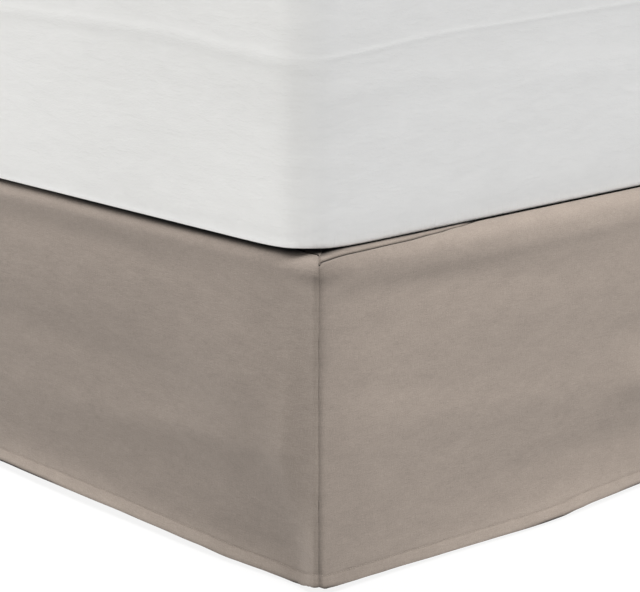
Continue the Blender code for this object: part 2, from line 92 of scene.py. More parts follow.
INSERT_FLARE = 0.15        # how much of that depth its side edges come back

QUARTER_TURN = math.pi / 2
HALF_CORNER = CORNER_RADIUS * QUARTER_TURN / 2
FOOT_LENGTH = 2 * HALF_CORNER + 2 * (FACE_X - CORNER_RADIUS)
SIDE_LENGTH = HALF_CORNER + FACE_Y - CORNER_RADIUS + HEAD_Y

# ---- folds, hem and seam

# A soft patch of a drop: "along" is its middle, from the slit along the drop; "up" its height above
# the hem; rise_deg the climb of its line away from the slit. Its height is how far it stands out,
# for a fold, or how much lighter it is painted, for painted shading; below zero it is a trough or
# painted shade.
Patch = namedtuple("Patch", "along up half_length half_width rise_deg height")


def patches(*rows):
    return tuple(Patch(*row) for row in rows)


FOOT_FOLDS = patches(
    (0.400, 0.332, 0.220, 0.019, 0.0, -0.0042), (0.440, 0.262, 0.300, 0.040, 0.0, 0.0030),
    (0.110, 0.200, 0.120, 0.085, 4.0, 0.0130), (0.400, 0.196, 0.240, 0.022, 2.0, -0.0026),
    (0.230, 0.138, 0.160, 0.022, -5.0, 0.0034), (0.440, 0.116, 0.180, 0.024, -2.0, 0.0018),
    (0.240, 0.088, 0.120, 0.020, -4.0, -0.0016), (0.420, 0.056, 0.300, 0.022, 0.0, -0.0014),
    (0.035, 0.145, 0.038, 0.060, 0.0, 0.0060), (0.055, 0.000, 0.100, 0.070, 0.0, -0.0110),
    (0.460, 0.000, 0.260, 0.024, 0.0, 0.0116), (0.140, 0.000, 0.120, 0.020, 0.0, 0.0046),
    (1.050, 0.322, 0.300, 0.026, 1.0, -0.0036), (0.950, 0.240, 0.260, 0.030, 3.0, 0.0024),
    (1.120, 0.160, 0.220, 0.024, -4.0, -0.0024), (1.250, 0.088, 0.240, 0.026, 2.0, -0.0020),
    (1.050, 0.000, 0.220, 0.035, 0.0, 0.0034),
)
RIGHT_FOLDS = patches(
    (0.400, 0.343, 0.240, 0.011, 0.0, 0.0030), (0.060, 0.320, 0.060, 0.018, 0.0, -0.0016),
    (0.200, 0.318, 0.190, 0.022, -6.0, -0.0046), (0.090, 0.288, 0.110, 0.034, 0.0, -0.0034),
    (0.330, 0.262, 0.240, 0.025, 0.0, 0.0012), (0.180, 0.200, 0.130, 0.016, -11.0, -0.0010),
    (0.110, 0.162, 0.120, 0.040, 0.0, 0.0030), (0.320, 0.152, 0.200, 0.026, -6.0, 0.0038),
    (0.430, 0.070, 0.170, 0.024, 0.0, -0.0044), (0.530, 0.205, 0.050, 0.016, 0.0, -0.0024),
    (0.535, 0.142, 0.056, 0.029, 0.0, 0.0095), (0.530, 0.060, 0.070, 0.026, 0.0, -0.0030),
    (0.385, 0.000, 0.190, 0.032, 0.0, 0.0162), (0.850, 0.318, 0.260, 0.024, 2.0, -0.0036),
    (0.950, 0.236, 0.300, 0.030, -2.0, 0.0022), (0.800, 0.130, 0.220, 0.026, 5.0, -0.0026),
    (1.150, 0.000, 0.260, 0.040, 0.0, 0.0050), (1.550, 0.320, 0.280, 0.024, -1.0, -0.0034),
    (1.600, 0.210, 0.300, 0.032, 2.0, 0.0020), (1.500, 0.110, 0.260, 0.028, -3.0, -0.0024),
)
LEFT_FOLDS = patches(
    (0.300, 0.322, 0.300, 0.024, 2.0, -0.0036), (0.450, 0.235, 0.320, 0.030, -2.0, 0.0022),
    (0.350, 0.130, 0.260, 0.026, 3.0, -0.0024), (0.600, 0.000, 0.240, 0.040, 0.0, 0.0050),
    (1.150, 0.320, 0.320, 0.024, -1.0, -0.0036), (1.300, 0.210, 0.320, 0.030, 2.0, 0.0022),
    (1.200, 0.105, 0.280, 0.026, -2.0, -0.0024), (1.700, 0.000, 0.200, 0.036, 0.0, 0.0040),
)

# Painted light and shade: where the cloth is painted a little lighter or darker than its folds
# make it look.
FOOT_PAINTED_SHADING = patches(
    (0.130, 0.338, 0.080, 0.012, 0.0, 0.05), (0.040, 0.195, 0.036, 0.060, 0.0, 0.05),
    (0.105, 0.122, 0.050, 0.026, 0.0, -0.04), (0.070, 0.085, 0.060, 0.050, 0.0, -0.05),
    (0.030, 0.010, 0.030, 0.030, 0.0, -0.09), (0.100, 0.040, 0.100, 0.011, 0.0, -0.04),
    (0.350, 0.004, 0.230, 0.013, 0.0, 0.09), (0.160, 0.156, 0.050, 0.012, 0.0, 0.04),
    (0.150, 0.300, 0.060, 0.020, 0.0, 0.04),
)
RIGHT_PAINTED_SHADING = patches(
    (0.400, 0.372, 0.220, 0.012, 0.0, 0.12), (0.025, 0.372, 0.020, 0.010, 0.0, 0.09),
    (0.480, 0.353, 0.120, 0.010, 0.0, 0.06), (0.140, 0.338, 0.180, 0.013, 0.0, -0.08),
    (0.006, 0.290, 0.007, 0.050, 0.0, -0.09), (0.070, 0.300, 0.060, 0.018, 0.0, -0.04),
    (0.080, 0.203, 0.080, 0.022, 0.0, 0.04), (0.540, 0.158, 0.020, 0.016, 0.0, 0.08),
    (0.155, 0.004, 0.036, 0.012, 0.0, -0.08), (0.075, 0.075, 0.050, 0.030, 0.0, -0.04),
    (0.380, 0.022, 0.110, 0.010, 0.0, 0.06),
)

# A smooth line through (along the drop, value) rows.
LinePoint = namedtuple("LinePoint", "along value")


def smooth_line(*rows):
    return tuple(LinePoint(*row) for row in rows)


# How far the hem hangs above (+) or below (-) its nominal line.
FOOT_HEM = smooth_line(
    (0.000, 0.0072), (0.010, 0.0062), (0.018, 0.0042), (0.030, 0.0008), (0.045, -0.0008),
    (0.070, -0.0003), (0.100, 0.0006), (0.140, 0.0015), (0.200, 0.0044), (0.280, 0.0056),
    (0.360, 0.0070), (0.460, 0.0073), (0.560, 0.0066), (0.700, 0.0040), (1.400, 0.0015),
    (1.530, 0.0045),
)
SIDE_HEM = smooth_line(
    (0.000, 0.0074), (0.009, 0.0050), (0.026, 0.0040), (0.060, 0.0032), (0.100, 0.0022),
    (0.180, 0.0006), (0.260, 0.0002), (0.340, -0.0005), (0.380, -0.0001), (0.410, 0.0021),
    (0.440, 0.0033), (0.500, 0.0028), (0.560, 0.0022), (2.000, 0.0010),
)

# How much darker the hem's fold is, which lies in its own shade.
FOOT_HEM_SHADE = smooth_line(
    (0.000, 0.60), (0.010, 0.30), (0.030, 0.25), (0.042, 0.90), (0.055, 0.50), (0.080, 0.30),
    (0.360, 0.25), (0.440, 0.30), (0.500, 0.85), (0.580, 1.00), (0.700, 0.50), (1.530, 0.60),
)
SIDE_HEM_SHADE = smooth_line(
    (0.000, 0.40), (0.010, 0.90), (0.018, 0.60), (0.030, 0.25), (0.050, 0.12), (0.220, 0.15),
    (0.300, 0.30), (0.335, 0.60), (0.350, 1.00), (0.375, 1.00), (0.390, 0.70), (0.410, 0.35),
    (0.440, 0.25), (0.480, 0.30), (0.520, 0.65), (0.560, 0.80), (0.700, 0.30), (2.000, 0.30),
)

# Where the seam between the deck and a drop runs, as its inset from the drop's face.
FOOT_SEAM = smooth_line((0.000, 0.0055), (0.004, 0.0140), (0.012, 0.0220))
SIDE_SEAM = smooth_line(
    (0.000, 0.0070), (0.012, 0.0098), (0.050, 0.0106), (0.140, 0.0116), (0.185, 0.0138),
    (0.225, 0.0172), (0.270, 0.0225),
)
LEFT_SEAM = smooth_line((0.000, 0.0055), (0.060, 0.0220))

# The strip that the mattress keeps dark, as a painted shadow: the inset where its shade starts and
# where it is full.
MATTRESS_SHADE = 0.96
FOOT_SHADE_START = smooth_line(
    (0.000, 0.0150), (0.036, 0.0087), (0.054, 0.0054), (0.096, 0.0042), (0.300, 0.0030),
    (0.400, 0.0030), (0.550, 0.0051),
)
FOOT_SHADE_FULL = smooth_line(
    (0.000, 0.0400), (0.034, 0.0360), (0.044, 0.0205), (0.062, 0.0138), (0.100, 0.0108),
    (0.200, 0.0102), (0.390, 0.0117), (0.560, 0.0146),
)
SIDE_SHADE_START = smooth_line((0.000, 0.0105), (0.030, 0.0140), (0.060, 0.0195))
SIDE_SHADE_FULL = smooth_line((0.000, 0.0380), (0.020, 0.0330), (0.050, 0.0255), (0.100, 0.0226))

# A soft rise: its height, where its middle lies and its half width.
Bell = namedtuple("Bell", "height middle half_width")

# The edge of a drop turns in softly at its slit: how deep at the top and at the hem, over what
# height that changes, how wide, and where it softens to what share of its depth.
LIP_TOP = 0.0006
LIP_HEM = 0.0018
LIP_RISE = 0.060
LIP_WIDTH = 0.0030
LIP_SOFT_FROM, LIP_SOFT_TO = 0.19, 0.26
LIP_SOFT_SHARE = 0.15

# The cloth droops a little where the box's corner is rounder than the skirt's.
FOOT_DROOP = Bell(0.0020, 0.028, 0.036)
SIDE_DROOP = Bell(0.0026, 0.000, 0.026)
DROOP_HEIGHT = 0.045

# Folds die out beside the slit over this length; small waves lie over them, so high and so long.
CALM_REACH = 0.045
WAVE_HEIGHT = 0.00035
WAVE_LENGTH, WAVE_WIDTH = 0.110, 0.034

# The hem stands out by its second layer and hangs a little away; its fold is rounded; its stitch
# line pulls in, and the cloth puckers beside it.
HEM_STEP = 0.0004
HEM_STEP_REACH = 0.0024
HEM_SWING = 0.0012
HEM_TURN = 0.0003
HEM_TURN_REACH = 0.0014
STITCH_PULL = Bell(0.00022, HEM_WIDTH, 0.0015)
PUCKER = Bell(0.00022, HEM_WIDTH * 0.8, 0.009)
PUCKER_LENGTH = 0.011

# Beside the seam the cloth turns in, and its allowance stands up a little.
SEAM_TURN = Bell(0.0017, 0.0, 0.0010)
SEAM_ALLOWANCE = Bell(0.0004, 0.0040, 0.0028)

# How much darker the cloth looks in the seam, in the slit, more so low down, along the hem's stitch
# line, and over what height in the hem's fold.
SEAM_SHADE = Bell(0.84, 0.0, 0.0009)
SLIT_SHADE_WIDTH = 0.0034
SLIT_SHADE_HEM, SLIT_SHADE_TOP = 0.16, 0.04
SLIT_SHADE_RISE = 0.160
STITCH_SHADE = Bell(0.03, HEM_WIDTH + 0.001, 0.0014)
HEM_SHADE_WIDTH = 0.0026

# Painted highlights: how much lighter the hem is painted where it is doubled, and low on it away
# from the slit.
HEM_LIGHT = 0.03
HEM_LIGHT_REACH = 0.0016
LOW_LIGHT = Bell(0.20, 0.0, 0.019)
LOW_LIGHT_REACH = 0.080

# Its roll is painted darker near the corner, as painted shade, with painted shade in a hollow
# below, and a painted highlight on its crown further along.
CORNER_SHADES = (Bell(0.22, 0.0, 0.034), Bell(0.07, 0.0, 0.075))
CORNER_SHADE_FROM, CORNER_SHADE_TO = DROP - 0.038, DROP - 0.016
HOLLOW_ACROSS = Bell(0.08, 0.0, 0.009)
HOLLOW_UP = Bell(1.0, DROP - 0.024, 0.012)
CROWN_LIGHT = Bell(0.07, DROP - 0.010, 0.012)
CROWN_FROM, CROWN_TO = 0.08, 0.20

# All over, it is unevenly worn: how strongly and over what sizes.
WEAR = 0.018
WEAR_LENGTH, WEAR_HEIGHT = 0.045, 0.016

# A drop: where it hangs, its tables, the painted light beside its slit (painted shade where it is
# below zero), up to where from the slit its low hem is not painted lighter than the rest, its
# columns, and the seed of its unevenness.
Drop = namedtuple(
    "Drop", "name plan length two_slits folds fades hem hem_shade seam shade_start shade_full droop"
    " side_light plain columns seed"
)

# ---- small helpers

def between(low, high, share):
    return low + (high - low) * share


def eased(value, start, end):
    """0 at the start and 1 at the end, which may be the lower of the two, and smooth between."""
    share = np.clip((value - start) / (end - start), 0.0, 1.0)
    return share * share * (3 - 2 * share)


def bell(row, at):
    """How high a soft rise is at a place."""
    return row.height * np.exp(-(((at - row.middle) / row.half_width) ** 2))


def read_line(points, along):
    """Value of a smooth line for an array of places."""
    along = np.asarray(along, float)
    value = np.full(along.shape, points[0].value)
    for first, second in zip(points, points[1:]):
        value = value + (second.value - first.value) * eased(along, first.along, second.along)
    return value


def wander(first, second, size_first, size_second, seed):
    """Gentle unevenness between -1 and 1, as wide as the two sizes, the same on every run."""
    shape = np.broadcast(first, second).shape
    first = np.broadcast_to(first, shape).ravel() / size_first
    second = np.broadcast_to(second, shape).ravel() / size_second
    values = [noise.noise(Vector((a, b, seed))) for a, b in zip(first, second)]
    return np.array(values).reshape(shape)


def patch_height(rows, along, up):
    """The sum of the folds, or of the painted light and shade, at a place."""
    total = np.zeros(np.broadcast(along, up).shape)
    for row in rows:
        rise = math.radians(row.rise_deg)
        past, above = along - row.along, up - row.up
        lengthwise = past * math.cos(rise) + above * math.sin(rise)
        across = above * math.cos(rise) - past * math.sin(rise)
        total += row.height * np.exp(
            -((lengthwise / row.half_length) ** 2) - (across / row.half_width) ** 2
        )
    return total


# ---- plan of a drop

def corner_plan(along, sign_turn, inset=0.0):
    """Points at an inset from the right foot corner's faces, and outward directions, from its slit.

    Past the corner's own radius the points keep to their side of the corner's diagonal."""
    along = np.asarray(along, float)
    turn = -QUARTER_TURN / 2 + sign_turn * np.minimum(along / CORNER_RADIUS, QUARTER_TURN / 2)
    out_x, out_y = np.cos(turn), np.sin(turn)
    beyond = np.maximum(inset - CORNER_RADIUS + LEAST_RADIUS, 0.0)
    radius = CORNER_RADIUS - inset + beyond
    run = np.maximum(along - HALF_CORNER, 0.0)
    run = run + beyond * np.maximum(1 - run / CORNER_REACH, 0.0)
    x = FACE_X - CORNER_RADIUS + radius * out_x
    y = CORNER_RADIUS - FACE_Y + radius * out_y
    if sign_turn > 0:
        return x - beyond, y + run, out_x, out_y
    return x - run, y + beyond, out_x, out_y


def side_plan(along, inset=0.0):
    return corner_plan(along, 1, inset)


def left_plan(along, inset=0.0):
    x, y, out_x, out_y = corner_plan(along, 1, inset)
    return -x, y, -out_x, out_y


def foot_plan(along, inset=0.0):
    along = np.asarray(along, float)
    far = along > FOOT_LENGTH / 2
    x, y, out_x, out_y = corner_plan(np.where(far, FOOT_LENGTH - along, along), -1, inset)
    side = np.where(far, -1.0, 1.0)
    return side * x, y, side * out_x, out_y


def nearer_slit(drop, along):
    """Distance from the drop's nearer slit, and the way that leads from it along the drop."""
    if not drop.two_slits:
        return along, np.ones(along.shape)
    far = along > drop.length / 2
    return np.where(far, drop.length - along, along), np.where(far, -1.0, 1.0)


def slit_shift(from_slit, up):
    """How far a point near the slit moves away from it to open it."""
    half_slit = between(SLIT_HEM, SLIT_TOP, up / DROP)
    return half_slit * np.maximum(0.0, 1 - from_slit / HALF_CORNER)


# ---- meshes

def placed(name, mesh):
    """A new piece of this mesh, shaded smooth, at the origin."""
    mesh.shade_smooth()
    item = bpy.data.objects.new(name, mesh)
    bpy.context.scene.collection.objects.link(item)
    return item


def finished_mesh(item):
    """A plain mesh of the piece with its modifiers done."""
    return bpy.data.meshes.new_from_object(
        item.evaluated_get(bpy.context.evaluated_depsgraph_get())
    )


def lay_uv(mesh, places):
    """A UV map in metres of cloth, from one place for each point."""
    layer = mesh.uv_layers.new(name="cloth")
    corners = np.zeros(len(mesh.loops), np.int32)
    mesh.loops.foreach_get("vertex_index", corners)
    layer.data.foreach_set("uv", places[corners].astype(np.float32).ravel())


def ring_faces(levels, count):
    """Faces between rings of equal count, and a flat cap on the last."""
    faces = []
    for lower in range(0, (levels - 1) * count, count):
        upper = lower + count
        for index in range(count):
            after = (index + 1) % count
            faces.append((lower + index, lower + after, upper + after, upper + index))
    faces.append(tuple(range((levels - 1) * count, levels * count)))
    return faces


def sheet_object(name, x, y, z, u, v):
    """An open grid of cloth, columns first, with u and v as its places on the flat cloth."""
    columns, rows = x.shape
    faces = []
    for start in range(0, (columns - 1) * rows, rows):
        faces += [(i, i + 1, i + rows + 1, i + rows) for i in range(start, start + rows - 1)]
    mesh = bpy.data.meshes.new(name)
    mesh.from_pydata(np.stack([x, y, z], -1).reshape(-1, 3).tolist(), [], faces)
    flat = np.stack([np.broadcast_to(u, x.shape), np.broadcast_to(v, x.shape)], -1)
    lay_uv(mesh, flat.reshape(-1, 2))
    return placed(name, mesh)


def shade_by_tone(item, tone):
    """Keep the lightness of the cloth on its points, as the attribute that its material reads; it
    holds painted light and shade, and on the drops some uneven wear.
    """
    layer = item.data.attributes.new("tone", "FLOAT", "POINT")
    layer.data.foreach_set("value", np.asarray(tone, np.float32).ravel())


def face_outwards(item, outward):
    """Turn the sheet over if most of it looks against the given direction."""
    total = Vector()
    for face in item.data.polygons:
        total += face.normal * face.area
    if total.dot(Vector(outward)) < 0:
        item.data.flip_normals()


def thicken(item, thickness):
    """Give an open sheet its thickness, one for all or one for each point, behind what shows."""
    most = float(np.max(thickness))
    share = np.broadcast_to(np.ravel(thickness) / most, len(item.data.vertices))
    group = item.vertex_groups.new(name="layers")
    for index, value in enumerate(share):
        group.add((index,), float(value), "REPLACE")
    solid = item.modifiers.new("Cloth thickness", "SOLIDIFY")
    solid.thickness = most
    solid.offset = -1.0
    solid.vertex_group = group.name
    solid_mesh = finished_mesh(item)
    item.modifiers.clear()
    item.vertex_groups.clear()
    open_mesh, item.data = item.data, solid_mesh
    bpy.data.meshes.remove(open_mesh)
    item.data.name = item.name
    item.data.shade_smooth()


# ---- the drops

NEAR_SLIT = (0.0, 0.0005, 0.0012, 0.0021, 0.0032, 0.0046, 0.0064, 0.0088, 0.0118, 0.0155, 0.0200)
ROLL_ROWS = 18
FACE_STEP = 0.0042
HEM_ROWS = (
    0.0220, 0.0190, 0.0172, 0.0160, 0.0152, 0.0144, 0.0134, 0.0120, 0.0100, 0.0075, 0.0050, 0.0030,
    0.0016, 0.0007, 0.0,
)


def spread(start, end, step):
    """Even places after the start up to the end, a step apart or less."""
    count = max(1, int(math.ceil((end - start) / step - 1e-6)))
    return [between(start, end, (index + 1) / count) for index in range(count)]


def drop_columns(length, two_slits, fine_reach, fine, coarse):
    """Places of the columns: dense at the slits, fine as far as fine_reach, coarse beyond."""
    near, end = list(NEAR_SLIT), length
    places = near + spread(near[-1], fine_reach, fine)
    if two_slits:
        end = length - near[-1]
    places += spread(fine_reach, end, coarse)
    if two_slits:
        places += [length - place for place in reversed(near[:-1])]
    return np.array(places)


def drop_sheet(drop):
    along = drop.columns[:, None]
    from_slit, side = nearer_slit(drop, along)
    hem_z = HEM_Z + read_line(drop.hem, along)

    # Rows over the ledge and the roll, from the seam to the roll's end.
    seam_inset = read_line(drop.seam, from_slit)
    start = np.arcsin(1 - np.minimum(seam_inset, ROLL_RADIUS) / ROLL_RADIUS)
    ledge = np.maximum(seam_inset - ROLL_RADIUS, 0.0)
    roll_length = ledge + ROLL_RADIUS * (QUARTER_TURN - start) - SEAM_GAP / 2
    before_end = roll_length * (1 - np.arange(ROLL_ROWS) / ROLL_ROWS)[None, :]
    on_roll = np.minimum(before_end, ROLL_RADIUS * QUARTER_TURN)
    turn = QUARTER_TURN - on_roll / ROLL_RADIUS
    roll_inset = ROLL_RADIUS * (1 - np.sin(turn)) + (before_end - on_roll)
    roll_z = TOP_Z - ROLL_RADIUS * (1 - np.cos(turn))

    # Rows down the face, and closer ones over the hem.
    face_top = TOP_Z - ROLL_RADIUS
    count = int(round((DROP - ROLL_RADIUS - HEM_ROWS[0]) / FACE_STEP))
    face_z = between(face_top, hem_z + HEM_ROWS[0], (np.arange(count) / count)[None, :])
    low_z = np.concatenate([face_z, hem_z + np.array(HEM_ROWS)[None, :]], 1)

    upright = np.zeros(low_z.shape)
    z = np.concatenate([roll_z, low_z], 1)
    inset = np.concatenate([roll_inset, upright], 1)
    lean = np.concatenate([np.cos(turn), upright], 1)
    down = np.concatenate([-before_end, face_top - low_z], 1)
    up = np.maximum(z - HEM_Z, 0.0)
    above_hem = z - hem_z
    from_seam = roll_length + down

    calm = eased(from_slit, 0.0, CALM_REACH) * eased(z, TOP_Z, face_top)
    waves = WAVE_HEIGHT * wander(along, up, WAVE_LENGTH, WAVE_WIDTH, drop.seed) * (z < face_top)
    relief = patch_height(drop.folds, along, up) * calm + waves
    relief = relief + hem_relief(above_hem, along, drop.seed) - lip_depth(from_slit, up)
    crease = seam_relief(from_seam)
    out = relief + crease * np.sqrt(np.maximum(1 - lean ** 2, 0.0))
    x, y, out_x, out_y = drop.plan(along + side * slit_shift(from_slit, up), inset)
    drooping = eased(z, TOP_Z - DROOP_HEIGHT, TOP_Z - ROLL_RADIUS / 2)
    z = z + crease * lean - bell(drop.droop, from_slit) * drooping

    item = sheet_object(drop.name, x + out_x * out, y + out_y * out, z, along, down)
    tone = drop_tone(drop, from_seam, from_slit, above_hem, along, up)
    shade_by_tone(item, tone * shaded_share(drop, inset, from_slit))
    middle = len(drop.columns) // 2
    face_outwards(item, (float(out_x[middle, 0]), float(out_y[middle, 0]), 0.0))
    thicken(item, np.where(above_hem < HEM_WIDTH + HEM_STEP, HEM_CLOTH, CLOTH))
    return item


def lip_depth(from_slit, up):
    depth = between(LIP_HEM, LIP_TOP, eased(up, 0.0, LIP_RISE))
    depth = depth * between(1.0, LIP_SOFT_SHARE, eased(up, LIP_SOFT_FROM, LIP_SOFT_TO))
    return depth * np.exp(-((from_slit / LIP_WIDTH) ** 2))


def hem_relief(above_hem, along, seed):
    body = HEM_STEP * eased(above_hem, HEM_WIDTH, HEM_WIDTH - HEM_STEP_REACH)
    body = body + HEM_SWING * np.clip(1 - above_hem / HEM_WIDTH, 0.0, 1.0)
    edge = HEM_TURN * eased(above_hem, HEM_TURN_REACH, 0.0)
    pucker = bell(PUCKER, above_hem) * wander(along, 0.0, PUCKER_LENGTH, 1.0, seed + 7.5)
    return body - edge - bell(STITCH_PULL, above_hem) + pucker


def seam_relief(from_seam):
    return bell(SEAM_ALLOWANCE, from_seam) - bell(SEAM_TURN, from_seam)


def drop_tone(drop, from_seam, from_slit, above_hem, along, up):
    """How light the cloth is painted: painted shade in the seam and the slit, painted highlights
    where the hem is doubled, and some uneven wear.
    """
    slit = between(SLIT_SHADE_HEM, SLIT_SHADE_TOP, eased(up, 0.0, SLIT_SHADE_RISE))
    slit = slit * np.exp(-((from_slit / SLIT_SHADE_WIDTH) ** 2))
    # Painted shade on the roll near the corner and in the hollow below it.
    corner = sum(bell(row, from_slit) for row in CORNER_SHADES)
    corner = corner * eased(up, CORNER_SHADE_FROM, CORNER_SHADE_TO)
    hollow = bell(HOLLOW_ACROSS, from_slit) * bell(HOLLOW_UP, up)
    # Painted highlights on the doubled hem and low on the hem.
    doubled = HEM_LIGHT * eased(above_hem, HEM_WIDTH, HEM_WIDTH - HEM_LIGHT_REACH)
    low = bell(LOW_LIGHT, above_hem) * eased(from_slit, drop.plain, drop.plain + LOW_LIGHT_REACH)
    # Painted highlight on the roll's crown.
    crown = bell(CROWN_LIGHT, up) * eased(from_slit, CROWN_FROM, CROWN_TO)
    fold_shade = read_line(drop.hem_shade, along) * np.exp(-((above_hem / HEM_SHADE_WIDTH) ** 2))
    tone = 1 + doubled + low
    for shade in (bell(SEAM_SHADE, from_seam), slit, bell(STITCH_SHADE, above_hem), corner, hollow):
        tone = tone * (1 - shade)
    # Painted light beside the slit on the foot drop, and painted shade there on the side drops.
    tone = tone * (1 + bell(drop.side_light, from_slit)) * (1 + crown)
    tone = tone + WEAR * wander(along, up, WEAR_LENGTH, WEAR_HEIGHT, drop.seed + 3.3)
    # Patches of painted light and shade, and painted shade in the hem's fold.
    return tone * (1 + patch_height(drop.fades, along, up)) * (1 - fold_shade)


def shaded_share(drop, inset, from_slit):
    """Painted shadow of the mattress: dark where it lies on the cloth, fading out over the roll."""
    start, full = read_line(drop.shade_start, from_slit), read_line(drop.shade_full, from_slit)
    return 1 - MATTRESS_SHADE * eased(inset, start, full)


# ---- the deck and the corner inserts

DECK_RINGS = (0.0, 0.0005, 0.0011, 0.0019, 0.0030, 0.0045, 0.0065, 0.0090, 0.0120, 0.0150)
DECK_INNER_RINGS = (0.985, 0.96, 0.93, 0.88, 0.80)
DECK_SEAM_SHADE = Bell(0.86, 0.0, 0.0008)
DECK_CORNER_SHADE = Bell(0.16, 0.0, 0.050)


def roll_height(inset):
    inside = ROLL_RADIUS - np.minimum(inset, ROLL_RADIUS)
    return TOP_Z - ROLL_RADIUS + np.sqrt(ROLL_RADIUS ** 2 - inside ** 2)


def deck_ring(extra, drops):
    """Points and lightness round the deck, at a distance in from its seam."""
    points, tones = [], []
    for drop, columns in drops:
        from_slit, side = nearer_slit(drop, columns)
        inset = read_line(drop.seam, from_slit) + SEAM_GAP / 2 + extra
        x, y, _, _ = drop.plan(columns + side * slit_shift(from_slit, DROP), inset)
        z = roll_height(inset) + seam_relief(extra) - bell(drop.droop, from_slit)
        points.append(np.stack([x, np.minimum(y, HEAD_Y - extra), z], 1))
        # Painted shade: the mattress's painted shadow, darker near the corner, and in the seam.
        tone = shaded_share(drop, inset, from_slit) * (1 - bell(DECK_CORNER_SHADE, from_slit))
        tones.append(tone * (1 - bell(DECK_SEAM_SHADE, extra)))
    return np.concatenate(points), np.concatenate(tones)


def deck_sheet(foot, right, left):
    drops = ((right, right.columns[::-1]), (foot, foot.columns), (left, left.columns))
    rings, tones = (list(kind) for kind in zip(*(deck_ring(extra, drops) for extra in DECK_RINGS)))
    last = rings[-1]
    for index, scale in enumerate(DECK_INNER_RINGS):
        share = 1 - (index + 1) / len(DECK_INNER_RINGS)
        level = TOP_Z - (TOP_Z - last[:, 2]) * share
        rings.append(np.stack([last[:, 0] * scale, last[:, 1] * scale, level], 1))
        # The first inner ring is painted dark, as painted shadow under the mattress.
        tones.append(np.full(len(last), 1 - MATTRESS_SHADE if index == 0 else 1.0))
    points = np.concatenate(rings)
    mesh = bpy.data.meshes.new("deck_cloth")
    mesh.from_pydata(points.tolist(), [], ring_faces(len(rings), len(last)))
    lay_uv(mesh, points[:, :2])
    item = placed("deck_cloth", mesh)
    shade_by_tone(item, np.concatenate(tones))
    face_outwards(item, (0, 0, 1))
    thicken(item, DECK_CLOTH)
    return item


INSERT_COLUMNS, INSERT_ROWS = 36, 90
INSERT_WAVE = 0.0004
INSERT_WAVE_SIZES = (0.02, 0.25)      # in metres across, and as a share of its height
# The inserts are painted darker than their cloth, as painted shade behind the slits.
INSERT_TONE = 0.7


def insert_sheet(name, sign, seed):
    across = np.linspace(-INSERT_HALF, INSERT_HALF, INSERT_COLUMNS)[:, None]
    share = np.linspace(0, 1, INSERT_ROWS)[None, :]
    depth = between(INSERT_DEPTH_TOP, INSERT_DEPTH_LOW, np.minimum(1.0, share / INSERT_FALL))
    flare = (np.abs(across) / INSERT_HALF) ** 2 * INSERT_FLARE
    depth = depth - (depth - INSERT_DEPTH_TOP) * flare
    depth = depth + INSERT_WAVE * wander(across, share, *INSERT_WAVE_SIZES, seed)
    right = corner_plan(np.abs(across), 1, depth)
    foot = corner_plan(np.abs(across), -1, depth)
    x, y = (np.where(across >= 0, a, b) for a, b in zip(right[:2], foot[:2]))
    z = between(TOP_Z - ROLL_RADIUS, INSERT_LOW, share) + 0 * across
    item = sheet_object(name, sign * x, y, z, across, -z)
    shade_by_tone(item, np.full(z.shape, INSERT_TONE))
    face_outwards(item, (sign, -1, 0))
    thicken(item, CLOTH)
    return item


# ---- lofts of rounded outlines

# How many steps an outline takes round a corner and along its straight sides.
Steps = namedtuple("Steps", "corner along_x along_y")


def rounded_ring(reach_x, low_y, high_y, foot_radius, head_radius, steps):
    """Points and outward directions round a rectangle with rounded corners, from its +X side."""
    corners = (
        (reach_x - head_radius, high_y - head_radius, head_radius, 0, steps.along_x),
        (head_radius - reach_x, high_y - head_radius, head_radius, 90, steps.along_y),
        (foot_radius - reach_x, low_y + foot_radius, foot_radius, 180, steps.along_x),
        (reach_x - foot_radius, low_y + foot_radius, foot_radius, 270, steps.along_y),
    )
    arcs = []
    for x, y, radius, start, _ in corners:
        turn = np.radians(start + 90 * np.arange(steps.corner + 1) / steps.corner)
        east, north = np.cos(turn), np.sin(turn)
        arcs.append(np.stack([x + radius * east, y + radius * north, east, north], 1))
    rows = []
    for index, arc in enumerate(arcs):
        count = corners[index][-1]
        after = arcs[(index + 1) % 4][0]
        share = (np.arange(1, count) / count)[:, None]
        rows += [arc, arc[-1] + (after - arc[-1]) * share]
    return np.concatenate(rows)


def loft(name, rings):
    """A closed body through level rings of equal count, capped flat at both ends."""
    count = len(rings[0])
    mesh = bpy.data.meshes.new(name)
    faces = [tuple(reversed(range(count)))] + ring_faces(len(rings), count)
    mesh.from_pydata(np.concatenate(rings).tolist(), [], faces)
    return placed(name, mesh)


# ---- the mattress

MATTRESS_LOW, MATTRESS_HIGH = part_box("mattress")
MATTRESS_HEIGHT = MATTRESS_HIGH.z - MATTRESS_LOW.z
MATTRESS_CORNER = 0.040
MATTRESS_LEAST_CORNER = 0.004
MATTRESS_TOP_EDGE = 0.040
MATTRESS_LOW_EDGE = 0.008
MATTRESS_STEPS = Steps(14, 200, 150)
SIDE_LIMIT = 0.001         # rings less far in than this are its side
LOW_EDGE_ROWS, TOP_EDGE_ROWS = 7, 10
UNDERSIDE_INSETS = (0.12, 0.05)
TOP_INSETS = (0.060, 0.740, 0.024)       # the first, the end and the step of its rings on top
SIDE_HEIGHTS = (                         # and of the heights of those up the side
    (0.0125, 0.191, 0.0055), (0.1930, 0.2360, 0.0018),
    (0.2400, MATTRESS_HEIGHT - MATTRESS_TOP_EDGE - 0.003, 0.0080),
)

# Soft lines round the mattress's side: height above its underside, half width, and depth on its
# foot side and on its right side.
Welt = namedtuple("Welt", "up half_width foot_depth right_depth")
WELTS = (Welt(0.2136, 0.0084, -0.0017, -0.0003), Welt(0.2192, 0.0030, -0.0003, -0.0009))

